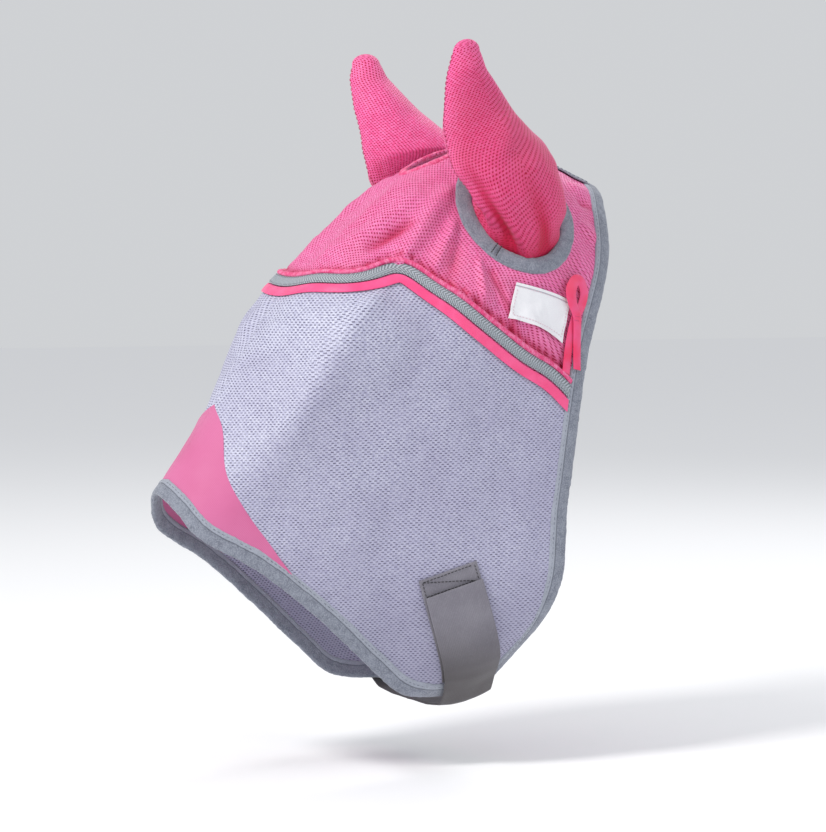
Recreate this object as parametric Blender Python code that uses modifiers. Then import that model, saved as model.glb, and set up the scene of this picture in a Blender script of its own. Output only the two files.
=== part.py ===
"""A horse's fly mask with ear covers: mesh and airmesh panels sewn into one shell, fleece bindings round
every edge, two ear covers that tilt with the ears, and a strap under the jaw that closes with hook and loop.

Frame: metres, +Z up. The horse faces -Y and its left side is +X. The origin is on the inside of the crown,
on the poll, where the worn mask rests on the head.
"""

import math

import bmesh
import bpy
import numpy as np
from mathutils import Matrix, Vector

# Driving dimensions, in metres.
PANEL = 0.0016  # thickness of the sewn panels
BINDING = 0.0052  # thickness of the folded fleece binding
BINDING_WIDTH = 0.0160
WRAP = 0.0015  # how far a binding stands past the edge that it covers
CLEAR = 0.0006  # room between pieces that are sewn together
TRIM = 0.0005  # how far a panel stops short inside its binding
TAPE = 0.0014  # thickness of webbing, ribbon and strap
PAD = 0.0012  # thickness of hook pads, loop pads and the label
WEBBING_WIDTH = 0.0105
BROW_RIBBON_WIDTH = 0.0090
STRAP_HALF = 0.0250
STRAP_ROWS = 5
TAB_LIFT = PANEL / 2 + 3 * CLEAR + 2 * PAD + TAPE / 2  # over the loop patch and the hook pad
ANCHOR_LIFTS = (0.0021, 0.0044, 0.0048)  # the off end, sewn down at its top and clear of the jaw binding
JAW_DROP = 0.0065  # how far the strap runs on past the jaw edge before it turns under
TURN_RADIUS = 0.0085
STRAP_SAG = 0.0020
CREASE = 0.0006  # gap at a fold of the strap
HINGE_OUT = 0.0004  # how far a fold's axis lies outside the strap's face
EAR_HOLE = (0.0480, 0.0415)  # half sizes of the ear hole, down the side and fore and aft
EAR_RING_WIDTH = 0.0135
EAR_RING = 0.0060  # thickness of the fleece ring
EAR_RING_STEPS = 32
RING_MARKS = ((5.05, 1.05), (5.20, 3.04), (4.15, 2.20), (6.00, 2.20))  # its inner, outer, fore and aft places
RING_START = (5.05, 2.0)
EAR_HINGE_RISE = 0.003  # of the ear's axis above the plane of its ring
EAR_FABRIC = 0.0014
SEAT = (6.40, 0.0)  # place on the form where the crown rests on the poll

# The head form: one row a station, from the nose edge over bridge, eyes, brow, forelock, ears and nape to
# the rear edge. Each row runs from the midline by front facet, brow ridge, temple and cheek to lower cheek.
STATIONS = (
    ((0, -.393, -.268), (.026, -.386, -.281), (.045, -.371, -.303),
     (.061, -.325, -.331), (.069, -.276, -.371), (.070, -.232, -.412)),
    ((0, -.343, -.199), (.038, -.335, -.204), (.072, -.317, -.226),
     (.086, -.272, -.252), (.090, -.230, -.306), (.087, -.197, -.370)),
    ((0, -.286, -.112), (.052, -.283, -.114), (.099, -.262, -.138),
     (.105, -.213, -.167), (.106, -.178, -.236), (.100, -.159, -.325)),
    ((0, -.229, -.052), (.040, -.222, -.055), (.073, -.202, -.079),
     (.104, -.166, -.128), (.108, -.147, -.205), (.104, -.139, -.306)),
    ((0, -.165, -.001), (.034, -.163, -.006), (.062, -.150, -.035),
     (.098, -.128, -.100), (.107, -.119, -.184), (.106, -.120, -.293)),
    ((0, -.100, .026), (.028, -.098, .018), (.055, -.090, -.015),
     (.095, -.090, -.085), (.104, -.092, -.170), (.107, -.101, -.285)),
    ((0, -.030, .012), (.026, -.030, .004), (.050, -.030, -.015),
     (.086, -.040, -.078), (.100, -.066, -.161), (.107, -.081, -.280)),
    ((0, .0195, -.008), (.024, .0165, -.012), (.045, .0105, -.028),
     (.076, -.004, -.078), (.095, -.036, -.160), (.105, -.060, -.279)),
)
FAN = (0, .2, .42, .54, .65, .76, .88, 1)  # how the stations share out the jowl
JOWL = ((.069, -.200, -.4385), (.103, -.070, -.360))
JOWL_BULGE = .010
JAW_EDGE = ((.062, -.1616, -.4446), (.060, -.1087, -.433))
JAW_SAG = .003

# Seams and edges as (station, column) points on the form.
NOSE_SEAM = ((1.05, 0), (.90, .75), (.578, 1.503), (.258, 2.53), (.10, 3.20), (0, 3.60))
BROW_SEAM = ((2.20, 0), (2.22, .60), (2.36, 1.30), (2.61, 1.77), (2.93, 2.05))
SIDE_SEAM = ((2.93, 2.05), (3.02, 2.67), (3.44, 3.28), (4.53, 3.85), (6.31, 4.25), (7, 4.36))
NOSE_STEPS, BROW_STEPS, SIDE_STEPS = 11, 8, 11  # points along the seams, shared by the panels that meet
BROW_STOP = 6.42  # station where the brow trims meet the rear binding
POLL_TURN = 1.30  # column where the side bindings hand over to the poll binding
FORELOCK = (4.60, 0.50, 0.55)  # the forelock hole: middle station, half length, half width in columns
FORELOCK_STEPS = 9
FORELOCK_HEM = 0.0065  # width of the hole's hem, which the crown meets edge to edge
HEM = 0.0040  # thickness of that hem
JAW_COLUMN = 6.97  # column where the front and rear bindings stop short of the jaw edge
JAW_RUN = (2.35, 4.65)  # stations between which the jaw edge is bound
POLL_PATCH = (5.32, 6.62, .30, 1.05)  # its front and rear stations and its half widths there, in columns
LABEL = ((4.60, 3.04), (5.92, 3.40), (5.98, 3.83), (4.18, 3.34))
RIBBON_AT = (6.208, 3.605)
RIBBON_TOP = (5.993, 3.114)
TAB_TOP = (1.72, 5.16)  # middle of the tab's free end on the near cheek
PATCH_RISE = 0.0155  # how far the loop patch shows above the tab
PATCH_SIDE = -1.06  # the patch's front edge shows a little beyond the tab, as a share of its half width
HOOKS = (.003, .070)  # lengths along the strap that the hook pad covers
HOOK_INSET = 0.002

# Angles round the ear hole, in degrees, at the ends of the crown's outer runs: brow seam, side seam, rear
# edge, midline behind the forelock hole, the hole, and midline in front of it.
CROWN_ANGLES = (90, 72, -10, -114, -164, -243, -270)

# The looped ribbon's path across and along itself, and how far each place of it stands on the one below.
LOOP_PATH = (
    (-.0065, -.0430), (-.0040, -.0215), (0, 0), (.0058, .0130), (.0066, .0260), (0, .0370),
    (-.0066, .0260), (-.0058, .0130), (0, 0), (.0040, -.0215), (.0060, -.0380),
)
LOOP_RISE = (0, 0, 0, 0, .0006, .0014, .0022, .0026, .0028, .0014, .0006)
LOOP_LIFT = 0.0038
LOOP_HALF = 0.0036  # half the ribbon's width
LOOP_FABRIC = 0.0010
LOOP_STEPS = 41

# The ear cover in its ring's frame: middle (down the side, forward, outward), half sizes across and
# fore and aft, and the roll of the section in degrees.
EAR_SECTIONS = (
    (.000, .000, -.009, .0422, .0341, 0),
    (.000, .000, .003, .0433, .0364, 0),
    (-.001, .001, .012, .0430, .0354, 2),
    (-.010, .005, .024, .0430, .0430, 12),
    (-.027, .014, .034, .0400, .0470, 30),
    (-.0454, .0222, .0440, .0340, .0440, 48),
    (-.0687, .0389, .0640, .0230, .0300, 56),
    (-.0888, .0508, .0860, .0150, .0190, 57),
    (-.1030, .0532, .0995, .0095, .0120, 57),
)
EAR_TIP = (-.1105, .0535, .1070)

COLOURS = {
    "face_mesh": ((.62, .61, .68), .55),
    "nose_panel": ((.80, .14, .30), .50),
    "airmesh": ((.85, .10, .28), .60),
    "fleece": ((.36, .40, .45), .95),
    "webbing": ((.52, .56, .60), .80),
    "ribbon": ((.87, .04, .20), .45),
    "strap": ((.33, .31, .33), .70),
    "hook": ((.14, .14, .15), .85),
    "label": ((.85, .85, .85), .60),
}


def clear_scene():
    for obj in list(bpy.data.objects):
        bpy.data.objects.remove(obj)


def new_collection(name):
    made = bpy.data.collections.new(name)
    bpy.context.scene.collection.children.link(made)
    return made


def new_material(slot):
    colour, roughness = COLOURS[slot]
    made = bpy.data.materials.new(slot)
    made.use_nodes = True
    shader = made.node_tree.nodes["Principled BSDF"]
    shader.inputs["Base Color"].default_value = (*colour, 1)
    shader.inputs["Roughness"].default_value = roughness
    shader.inputs["Metallic"].default_value = 0
    return made


# The head form.


def form_cage():
    """The stations' points with the two lower columns, the jowl and the jaw edge, worked out."""
    stations = np.array(STATIONS, float)
    share = np.array(FAN, float)[:, None]
    jowl = (1 - share) * np.array(JOWL[0]) + share * np.array(JOWL[1])
    jowl[:, 0] += JOWL_BULGE * np.sin(math.pi * share[:, 0])
    even = np.linspace(0, 1, len(stations))[:, None]
    jaw = (1 - even) * np.array(JAW_EDGE[0]) + even * np.array(JAW_EDGE[1])
    jaw[:, 2] -= JAW_SAG * np.sin(math.pi * even[:, 0])
    return np.concatenate([stations, jowl[:, None], jaw[:, None]], axis=1)


def with_borders(cage):
    """The cage with one more point past each edge; the column past the midline is its mirror image."""
    mirrored = cage[:, 1:2] * np.array((-1, 1, 1))
    cage = np.concatenate([mirrored, cage, 2 * cage[:, -1:] - cage[:, -2:-1]], axis=1)
    return np.concatenate([2 * cage[:1] - cage[1:2], cage, 2 * cage[-1:] - cage[-2:-1]], axis=0)


CAGE = with_borders(form_cage())
STATION_MAX = len(CAGE) - 3
COLUMN_MAX = CAGE.shape[1] - 3


def spline_weights(at, most):
    first = np.clip(np.floor(at), 0, most - 1).astype(int)
    t = at - first
    weights = (
        -.5 * t + t * t - .5 * t**3,
        1 - 2.5 * t * t + 1.5 * t**3,
        .5 * t + 2 * t * t - 1.5 * t**3,
        -.5 * t * t + .5 * t**3,
    )
    return first, weights


def raw_form(places):
    """Points of the form's middle surface at (station, column) places, before the origin is set."""
    places = np.asarray(places, float)
    station, column = places[..., 0], places[..., 1]
    i, across = spline_weights(station, STATION_MAX)
    j, down = spline_weights(np.abs(column), COLUMN_MAX)
    total = np.zeros(places.shape[:-1] + (3,))
    for a in range(4):
        for b in range(4):
            total += (across[a] * down[b])[..., None] * CAGE[i + a, j + b]
    total[..., 0] *= np.where(column < 0, -1.0, 1.0)
    return total


def unit(vectors):
    return vectors / np.linalg.norm(vectors, axis=-1, keepdims=True)


def slopes(places, surface=raw_form):
    """How the form's point changes with the station and with the column."""
    step = 1e-4
    places = np.asarray(places, float)
    along = (surface(places + (step, 0)) - surface(places - (step, 0))) / (2 * step)
    # A column a step past the midline folds back, so the midline takes its slope from one side.
    inner = np.where(places[..., 1:] < step, places[..., 1:], places[..., 1:] - step)
    low = np.concatenate([places[..., :1], inner], axis=-1)
    high = places + (0, step)
    down = (surface(high) - surface(low)) / (high[..., 1:] - low[..., 1:])
    return along, down


def outward(places):
    along, down = slopes(places)
    return unit(np.cross(down, along))


ORIGIN = raw_form(SEAT) - outward(SEAT) * PANEL / 2


def form(places, lift=0.0):
    """Points of the form in the object's frame, raised outwards by lift."""
    return raw_form(places) - ORIGIN + outward(places) * np.asarray(lift)[..., None]


def curve(points, count):
    """A smooth curve through (station, column) points, with count places on it."""
    points = np.asarray(points, float)
    ends = np.concatenate([2 * points[:1] - points[1:2], points, 2 * points[-1:] - points[-2:-1]])
    at = np.linspace(0, len(points) - 1, count)
    first, weights = spline_weights(at, len(points) - 1)
    return sum(w[:, None] * ends[first + k] for k, w in enumerate(weights))


def line(start, end, count):
    return np.linspace(start, end, count)


def joined(*runs):
    """Runs of places end to end, with each shared end kept once."""
    return np.concatenate([runs[0]] + [run[1:] for run in runs[1:]])


def beside(places, distance, closed=False):
    """Places beside a run of places, at a distance across the form; positive is to the left of the run
    seen from outside. A place on the midline stays on it."""
    places = np.array(places, float)
    steps = 4
    on_midline = np.abs(places[:, 1]) < 1e-9
    for _ in range(steps):
        points = raw_form(places)
        if closed:
            tangent = np.roll(points, -1, axis=0) - np.roll(points, 1, axis=0)
        else:
            tangent = np.gradient(points, axis=0)
        along, down = slopes(places)
        tangent[on_midline, 1:] = 0
        way = unit(np.cross(unit(np.cross(down, along)), unit(tangent))) * distance / steps
        for k, vector in enumerate(way):
            basis = np.stack([along[k], down[k]], axis=1)
            move = np.linalg.lstsq(basis, vector, rcond=None)[0]
            places[k] += (move[0], 0 if on_midline[k] else move[1])
    return places


# Meshes.


def link(obj, collection, slot):
    collection.objects.link(obj)
    obj.data.materials.append(materials[slot])
    return obj


def grid_mesh(name, points, closed=False, tip=None):
    """An open surface over a grid of points; closed joins its last column to its first, and a tip
    closes the last row in one point."""
    rows, columns = points.shape[:2]
    shape = bmesh.new()
    verts = [[shape.verts.new(p) for p in row] for row in points]
    for r in range(rows - 1):
        for c in range(columns if closed else columns - 1):
            d = (c + 1) % columns
            shape.faces.new((verts[r][c], verts[r][d], verts[r + 1][d], verts[r + 1][c]))
    if tip is not None:
        apex = shape.verts.new(tip)
        for c in range(columns):
            shape.faces.new((verts[-1][c], verts[-1][(c + 1) % columns], apex))
    bmesh.ops.recalc_face_normals(shape, faces=shape.faces)
    # Twisted cells are split the same way in a panel and in the room cut for it.
    bmesh.ops.triangulate(shape, faces=shape.faces, quad_method="FIXED")
    mesh = bpy.data.meshes.new(name)
    shape.to_mesh(mesh)
    shape.free()
    mesh.shade_smooth()
    return mesh


def sheet(name, points, thickness, slot, collection, mirrored=False, offset=0.0, **shape):
    """A sheet of fabric: an open surface, mirrored at the midline where it crosses it, given its
    thickness by Solidify."""
    obj = link(bpy.data.objects.new(name, grid_mesh(name, points, **shape)), collection, slot)
    if mirrored:
        mirror = obj.modifiers.new("other side", "MIRROR")
        mirror.use_mirror_merge = True
        mirror.merge_threshold = 0.0001
    solid = obj.modifiers.new("thickness", "SOLIDIFY")
    solid.thickness = thickness
    solid.offset = offset
    return obj


def cut_with(obj, *cutters):
    for cutter in cutters:
        boolean = obj.modifiers.new("room for " + cutter.name, "BOOLEAN")
        boolean.operation = "DIFFERENCE"
        boolean.solver = "EXACT"
        boolean.object = cutter
    return obj


def room_for(name, points, mirrored, **shape):
    """The cutter that leaves a panel its clearance inside the pieces sewn over it."""
    cutter = sheet(name + "_room", points, PANEL + 2 * CLEAR, "fleece", cutters, mirrored, **shape)
    cutter.hide_render = True
    cutter.display_type = "WIRE"
    return cutter


def pulled_in(points, last_column=False, still=()):
    """A panel's points with its first and last rows pulled in by TRIM, so that it stops inside its
    binding. A point on the midline stays on it, and the last row's still points don't move."""
    points = points.copy()
    edges = [(points[0], points[1], ()), (points[-1], points[-2], still)]
    if last_column:
        edges.append((points[:, -1], points[:, -2], ()))
    for edge, inner, unmoved in edges:
        move = unit(inner - edge) * TRIM
        move[np.abs(edge[:, 0]) < 1e-9, 0] = 0
        move[list(unmoved)] = 0
        edge += move
    return points


def ruled(lower, upper, rows, border):
    """Places on straight lines from lower to upper, with a row at border from each end."""
    table = []
    for start, end in zip(lower, upper):
        fine = line(start, end, 60)
        run = np.concatenate([[0], np.cumsum(np.linalg.norm(np.diff(raw_form(fine), axis=0), axis=1))])
        edge = min(border, run[-1] / 4)
        at = np.concatenate([[0], np.linspace(edge, run[-1] - edge, rows), [run[-1]]])
        table.append(np.stack([np.interp(at, run, fine[:, k]) for k in range(2)], axis=1))
    return np.array(table).transpose(1, 0, 2)


def strip(name, places, near, far, thickness, slot, lift=0.0, mirrored=False, closed=False, rows=2):
    """A strip along a run of places, between two distances beside it."""
    table = np.array([beside(places, d, closed) for d in np.linspace(near, far, rows)])
    points = form(table, np.full(table.shape[:2], lift))
    if mirrored:
        points[np.abs(table[..., 1]) < 1e-9, 0] = 0
    return sheet(name, points, thickness, slot, parts, mirrored, closed=closed)


# Panels.


def face_panel():
    """The stiff mesh over the eyes and cheeks, from the nose seam and nose edge up to the brow seam."""
    lower = joined(curve(NOSE_SEAM, NOSE_STEPS), line(NOSE_SEAM[-1], (0, COLUMN_MAX), 14))
    rear = line(SIDE_SEAM[-1], (STATION_MAX, COLUMN_MAX), 7)
    upper = joined(curve(BROW_SEAM, BROW_STEPS), curve(SIDE_SEAM, SIDE_STEPS), rear)
    places = ruled(lower, upper, 7, BINDING_WIDTH)
    points = form(places)
    points[np.abs(places[..., 1]) < 1e-9, 0] = 0
    room = room_for("face_mesh", points, True)
    sheet("face_mesh", pulled_in(points, last_column=True), PANEL, "face_mesh", parts, True)
    return room


def nose_panel():
    """The smooth panel over the bridge of the nose, between the nose edge and the nose seam."""
    upper = curve(NOSE_SEAM, NOSE_STEPS)[:-2]  # its thin ends stop inside the nose binding
    lower = np.stack([np.zeros(len(upper)), upper[:, 1]], axis=1)
    places = ruled(lower, upper, 3, BINDING_WIDTH)
    points = form(places)
    points[np.abs(places[..., 1]) < 1e-9, 0] = 0
    room = room_for("nose_panel", points, True)
    sheet("nose_panel", pulled_in(points, last_column=True), PANEL, "nose_panel", parts, True)
    return room


def ring_frame():
    """The ear ring's middle and its directions down the side, forward and outward, on the left side."""
    inner, outer, fore, aft = form(RING_MARKS)
    middle = (inner + outer) / 2
    side = unit(outer - inner)
    forward = fore - aft
    forward = unit(forward - side * (forward @ side))
    return middle, side, forward, np.cross(side, -forward)


def places_on_ring(angles, widen=0.0):
    """Places on the form at angles round the ear hole, from down the side towards forward."""
    middle, side, forward, _ = ring_frame()
    half_side, half_fore = np.array(EAR_HOLE) + widen
    target = np.stack([half_side * np.cos(angles), half_fore * np.sin(angles)], axis=1)
    flat = np.stack([side, forward], axis=1)
    places = np.tile(RING_START, (len(angles), 1))
    for _ in range(12):
        miss = target - (form(places) - middle) @ flat
        along, down = slopes(places)
        for k in range(len(places)):
            basis = np.stack([along[k] @ flat, down[k] @ flat], axis=1)
            places[k] += np.clip(np.linalg.solve(basis, miss[k]), -.4, .4)
    return places


def forelock_edge():
    """The left half of the forelock hole's edge, from its rear end to its front end."""
    middle, half_length, half_width = FORELOCK
    angles = np.linspace(0, math.pi, FORELOCK_STEPS)
    reach = np.stack([half_length * np.cos(angles), half_width * np.sin(angles)], axis=1)
    reach[[0, -1], 1] = 0
    return reach + (middle, 0)


def crown_panel():
    """The airmesh crown, a ring of cells from the ear hole out to the seams, the rear edge, the midline
    and the forelock hole."""
    hole = beside(forelock_edge(), FORELOCK_HEM + 2 * CLEAR)
    runs = (
        curve(BROW_SEAM, BROW_STEPS),
        curve(SIDE_SEAM, SIDE_STEPS),
        line(SIDE_SEAM[-1], (STATION_MAX, 0), 11),
        line((STATION_MAX, 0), hole[0], 5),
        hole,
        line(hole[-1], (BROW_SEAM[0][0], 0), 6),
    )
    outer = np.concatenate([run[:-1] for run in runs])
    ends = zip(runs, CROWN_ANGLES[:-1], CROWN_ANGLES[1:])
    angles = np.concatenate([np.radians(np.linspace(a, b, len(run)))[:-1] for run, a, b in ends])
    inner = places_on_ring(angles)
    border = places_on_ring(angles, EAR_RING_WIDTH)
    places = np.array([inner] + [border + (outer - border) * t for t in np.linspace(0, 1, 5)])
    points = form(places)
    points[np.abs(places[..., 1]) < 1e-9, 0] = 0
    room = room_for("crown_mesh", points, True, closed=True)
    seamed = sum(len(run) - 1 for run in runs[:3])
    points = pulled_in(points, still=range(seamed + 1, len(outer)))
    sheet("crown_mesh", points, PANEL, "airmesh", parts, True, closed=True)
    return room


# Bindings and trims.


def mirrored_copy(obj, name, *cutters):
    """The same piece on the horse's right side."""
    mesh = obj.data.copy()
    mesh.name = name
    mesh.transform(Matrix.Scale(-1, 4, (1, 0, 0)))
    mesh.flip_normals()
    other = bpy.data.objects.new(name, mesh)
    parts.objects.link(other)
    for modifier in obj.modifiers:
        if modifier.type == "SOLIDIFY":
            solid = other.modifiers.new(modifier.name, "SOLIDIFY")
            solid.thickness = modifier.thickness
            solid.offset = modifier.offset
    return cut_with(other, *cutters)


def bindings(face_room, nose_room, crown_room):
    inner = BINDING_WIDTH - WRAP
    nose_run = line((0, 0), (0, JAW_COLUMN), 27)
    nose = strip("nose_binding", nose_run, -WRAP, inner, BINDING, "fleece", mirrored=True)
    cut_with(nose, face_room, nose_room)
    throat_run = line((STATION_MAX, JAW_COLUMN), (STATION_MAX, POLL_TURN), 25)
    throat = strip("throat_binding_left", throat_run, -WRAP, inner, BINDING, "fleece")
    mirrored_copy(throat, "throat_binding_right", face_room, crown_room)
    cut_with(throat, face_room, crown_room)
    jaw_run = line((JAW_RUN[0], COLUMN_MAX), (JAW_RUN[1], COLUMN_MAX), 5)
    jaw = strip("jaw_binding_left", jaw_run, -WRAP, inner, BINDING, "fleece")
    mirrored_copy(jaw, "jaw_binding_right", face_room)
    cut_with(jaw, face_room)
    poll_run = line((STATION_MAX, POLL_TURN - .02), (STATION_MAX, 0), 7)
    poll = strip("poll_binding", poll_run, -WRAP, inner, BINDING, "fleece", mirrored=True)
    cut_with(poll, crown_room)
    strip("forelock_binding", forelock_edge(), 0, FORELOCK_HEM, HEM, "airmesh", mirrored=True)


def ear_rings(crown_room):
    """The fleece rings round the ear holes."""
    angles = np.radians(np.arange(0, 360, 360 / EAR_RING_STEPS))
    widths = (-WRAP, EAR_RING_WIDTH / 2, EAR_RING_WIDTH)
    table = np.array([places_on_ring(angles, widen) for widen in widths])
    ring = sheet("ear_ring_left", form(table), EAR_RING, "fleece", parts, closed=True)
    mirrored_copy(ring, "ear_ring_right", crown_room)
    cut_with(ring, crown_room)


def brow_trims(face_room, crown_room):
    """The pale webbing over the brow seam and the bright ribbon under it."""
    side = curve(SIDE_SEAM, 25)
    side = side[side[:, 0] <= BROW_STOP]
    run = joined(curve(BROW_SEAM, 10), side)
    lift = PANEL / 2 + CLEAR + TAPE / 2
    webbing = strip("brow_webbing", run, .0008, .0008 + WEBBING_WIDTH, TAPE, "webbing", lift, True)
    ribbon = strip("brow_ribbon", run, -.0002, -.0002 - BROW_RIBBON_WIDTH, TAPE, "ribbon", lift, True)
    for piece in (webbing, ribbon):
        cut_with(piece, face_room, crown_room)


def patches(crown_room):
    """The woven label on the near side and the fleece patch behind the forelock hole."""
    across = np.linspace(0, 1, 5)[None, :, None]
    down = np.linspace(0, 1, 4)[:, None, None]
    corners = np.array(LABEL, float)
    top = corners[0] * (1 - across) + corners[1] * across
    bottom = corners[3] * (1 - across) + corners[2] * across
    table = top * (1 - down) + bottom * down
    lift = PANEL / 2 + CLEAR + PAD / 2
    label = sheet("label_patch", form(table, np.full(table.shape[:2], lift)), PAD, "label", parts)
    cut_with(label, crown_room)
    front, rear, narrow, wide = POLL_PATCH
    share = np.linspace(0, 1, 6)[:, None]
    station = front + (rear - front) * share
    half = (narrow + (wide - narrow) * share) * np.linspace(0, 1, 4)[None, :]
    table = np.stack([np.broadcast_to(station, half.shape), half], axis=-1)
    points = form(table, np.full(table.shape[:2], PANEL / 2 + CLEAR + TAPE / 2))
    points[:, 0, 0] = 0
    cut_with(sheet("poll_patch", points, TAPE, "fleece", parts, True), crown_room)


def ribbon_loop():
    """A looped ribbon sewn on beside the label: up one side, round the top and down across itself."""
    smooth = curve(LOOP_PATH, LOOP_STEPS)
    lift = LOOP_LIFT + np.interp(np.linspace(0, 1, LOOP_STEPS), np.linspace(0, 1, len(LOOP_RISE)), LOOP_RISE)
    along, down = slopes(np.array(RIBBON_AT))
    middle = form(RIBBON_AT)
    up = unit(form(RIBBON_TOP) - middle)
    right = unit(np.cross(up, outward(RIBBON_AT)))
    basis = np.stack([along, down], axis=1)
    tangent = unit(np.gradient(smooth, axis=0))
    across = np.stack([tangent[:, 1], -tangent[:, 0]], axis=1) * LOOP_HALF
    rows = []
    for flat in (smooth - across, smooth + across):
        moves = flat[:, :1] * right + flat[:, 1:] * up
        places = np.array(RIBBON_AT) + np.array([np.linalg.lstsq(basis, m, rcond=None)[0] for m in moves])
        rows.append(form(places, lift))
    sheet("ribbon_loop", np.array(rows), LOOP_FABRIC, "ribbon", parts)


# Ear covers.


def hinge_empty(name, place, axis):
    """An empty on a joint: its local X lies along the axis."""
    empty = bpy.data.objects.new(name, None)
    parts.objects.link(empty)
    empty.empty_display_size = 0.03
    empty.matrix_world = Matrix.Translation(place) @ Vector(axis).to_track_quat("X", "Z").to_matrix().to_4x4()
    bpy.context.view_layer.update()
    return empty


def ride_on(obj, empty):
    obj.parent = empty
    obj.matrix_parent_inverse = empty.matrix_world.inverted()


def ear_points(rings, around):
    """Rings of points up the left ear cover, and its tip."""
    middle, side, forward, out = ring_frame()
    table = np.array(EAR_SECTIONS, float)
    ends = np.concatenate([2 * table[:1] - table[1:2], table, 2 * table[-1:] - table[-2:-1]])
    at = np.linspace(0, len(table) - 1, rings)
    first, weights = spline_weights(at, len(table) - 1)
    smooth = sum(w[:, None] * ends[first + k] for k, w in enumerate(weights))
    turn = np.arange(around) * 2 * math.pi / around
    frame = np.stack([side, forward, out])
    points = []
    for a, f, n, half_side, half_fore, roll in smooth:
        roll = math.radians(roll)
        across = math.cos(roll) * side + math.sin(roll) * out
        centre = middle + np.array((a, f, n)) @ frame
        points.append(
            centre
            + half_side * np.cos(turn)[:, None] * across
            + half_fore * np.sin(turn)[:, None] * forward
        )
    return np.array(points), middle + np.array(EAR_TIP) @ frame


def ear_covers():
    """Two pockets, open at the base, each on a hinge across its ring."""
    middle, side, _, out = ring_frame()
    hinge = middle + out * EAR_HINGE_RISE
    points, tip = ear_points(14, 20)
    for name, sign in (("left", 1), ("right", -1)):
        flip = np.array((sign, 1, 1))
        empty = hinge_empty("ear_hinge_" + name, hinge * flip, side * (sign, 1, 1))
        shape = {"closed": True, "tip": tip * flip, "offset": -1.0}
        cover = sheet("ear_cover_" + name, points * flip, EAR_FABRIC, "airmesh", parts, **shape)
        ride_on(cover, empty)


# The closure.


def places_below(targets, guess):
    """Places on the cheek whose points have the given (y, z), each found from the one before."""
    places = []
    place = np.array(guess, float)
    for target in targets:
        for _ in range(8):
            along, down = slopes(place)
            basis = np.stack([along[1:], down[1:]], axis=1)
            place = place + np.clip(np.linalg.solve(basis, target - form(place)[1:]), -.5, .5)
        places.append(place)
    return np.array(places)


def cheek_places(share, count):
    """Places down the near cheek at a share of the strap's half width: one on the loop patch's top edge,
    then a run from the tab's free end to the jaw edge."""
    jaw = line((0, COLUMN_MAX), (STATION_MAX, COLUMN_MAX), 60)
    jaw_points = form(jaw)[:, 1:]
    top = form(TAB_TOP)[1:]
    foot = form((STATION_MAX / 2, COLUMN_MAX))[1:]
    down = unit(foot - top)
    across = np.array((-down[1], down[0])) * share * STRAP_HALF
    reach = (jaw_points - top) @ unit(np.array((-down[1], down[0])))
    end = np.array((np.interp(share * STRAP_HALF, reach, jaw[:, 0]), COLUMN_MAX))
    start = top + across
    run = places_below(line(start, form(end)[1:], count)[:-1], TAB_TOP)
    patch_top = places_below([start - down * PATCH_RISE], TAB_TOP)[0]
    return patch_top, np.concatenate([run, [end]])


def cheek_run(lifts):
    """Rows of points down the near cheek and round the turn under the jaw, one row a step across the
    strap, with a lift for each point down the cheek."""
    rows = []
    for share in np.linspace(-1, 1, STRAP_ROWS):
        _, places = cheek_places(share, len(lifts))
        on_cheek = form(places, np.array(lifts))
        down = unit(on_cheek[-1] - on_cheek[-2])
        fore_aft = unit(np.cross(outward(places[-1]), down))
        way_out = unit(np.cross(down, fore_aft))
        corner = on_cheek[-1] + down * JAW_DROP
        inward = unit(np.array((-1.0, 0, 0)) + fore_aft * fore_aft[0])
        opening = math.acos(np.clip(down @ inward, -1, 1))
        arc = [
            corner + TURN_RADIUS * (way_out * (math.cos(t) - 1) + down * math.sin(t))
            for t in np.linspace(0, opening, 6)[1:]
        ]
        rows.append(np.concatenate([on_cheek, [corner], arc]))
    return np.array(rows)


def strap_path():
    """The strap as rows of points from the tab's free end on the near cheek, round under the jaw and up
    the off cheek; the lengths along its middle row; and the lengths where its two folds come."""
    steps = 11
    near = cheek_run([TAB_LIFT] * steps)
    far_lifts = np.interp(np.arange(steps), (0, steps - 4, steps - 1), ANCHOR_LIFTS)
    far = cheek_run(far_lifts)[:, ::-1] * (-1, 1, 1)
    bridge = near[:, -1:] + (far[:, :1] - near[:, -1:]) * np.linspace(0, 1, 6)[None, 1:-1, None]
    bridge[..., 2] -= STRAP_SAG
    points = np.concatenate([near, bridge, far], axis=1)
    middle = points[STRAP_ROWS // 2]
    run = np.concatenate([[0], np.cumsum(np.linalg.norm(np.diff(middle, axis=0), axis=1))])
    return points, run, run[steps + 1], run[-steps - 2]


def along_strap(path, start, end, count):
    """The strap's rows from one length to another, and the way out of its face there."""
    points, run, _, _ = path
    at = np.linspace(start, end, count)
    out = unit(np.cross(np.gradient(points, axis=1), np.gradient(points, axis=0)))
    parts_of = []
    for table in (points, out):
        rows = [np.stack([np.interp(at, run, row[:, k]) for k in range(3)], axis=1) for row in table]
        parts_of.append(np.array(rows))
    return parts_of


def strap_piece(name, path, start, end, count, thickness, slot, shift=0.0, narrow=0.0):
    points, out = along_strap(path, start, end, count)
    middle = points[STRAP_ROWS // 2]
    points = middle + (points - middle) * (1 - narrow / STRAP_HALF) + out * shift
    return sheet(name, points, thickness, slot, parts)


def fold_empty(name, path, at):
    """An empty on a fold: its axis runs across the strap, just outside its face."""
    points, out = along_strap(path, at, at, 1)
    middle = STRAP_ROWS // 2
    place = points[middle, 0] + out[middle, 0] * (TAPE / 2 + HINGE_OUT)
    return hinge_empty(name, place, unit(points[-1, 0] - points[0, 0]))


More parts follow.
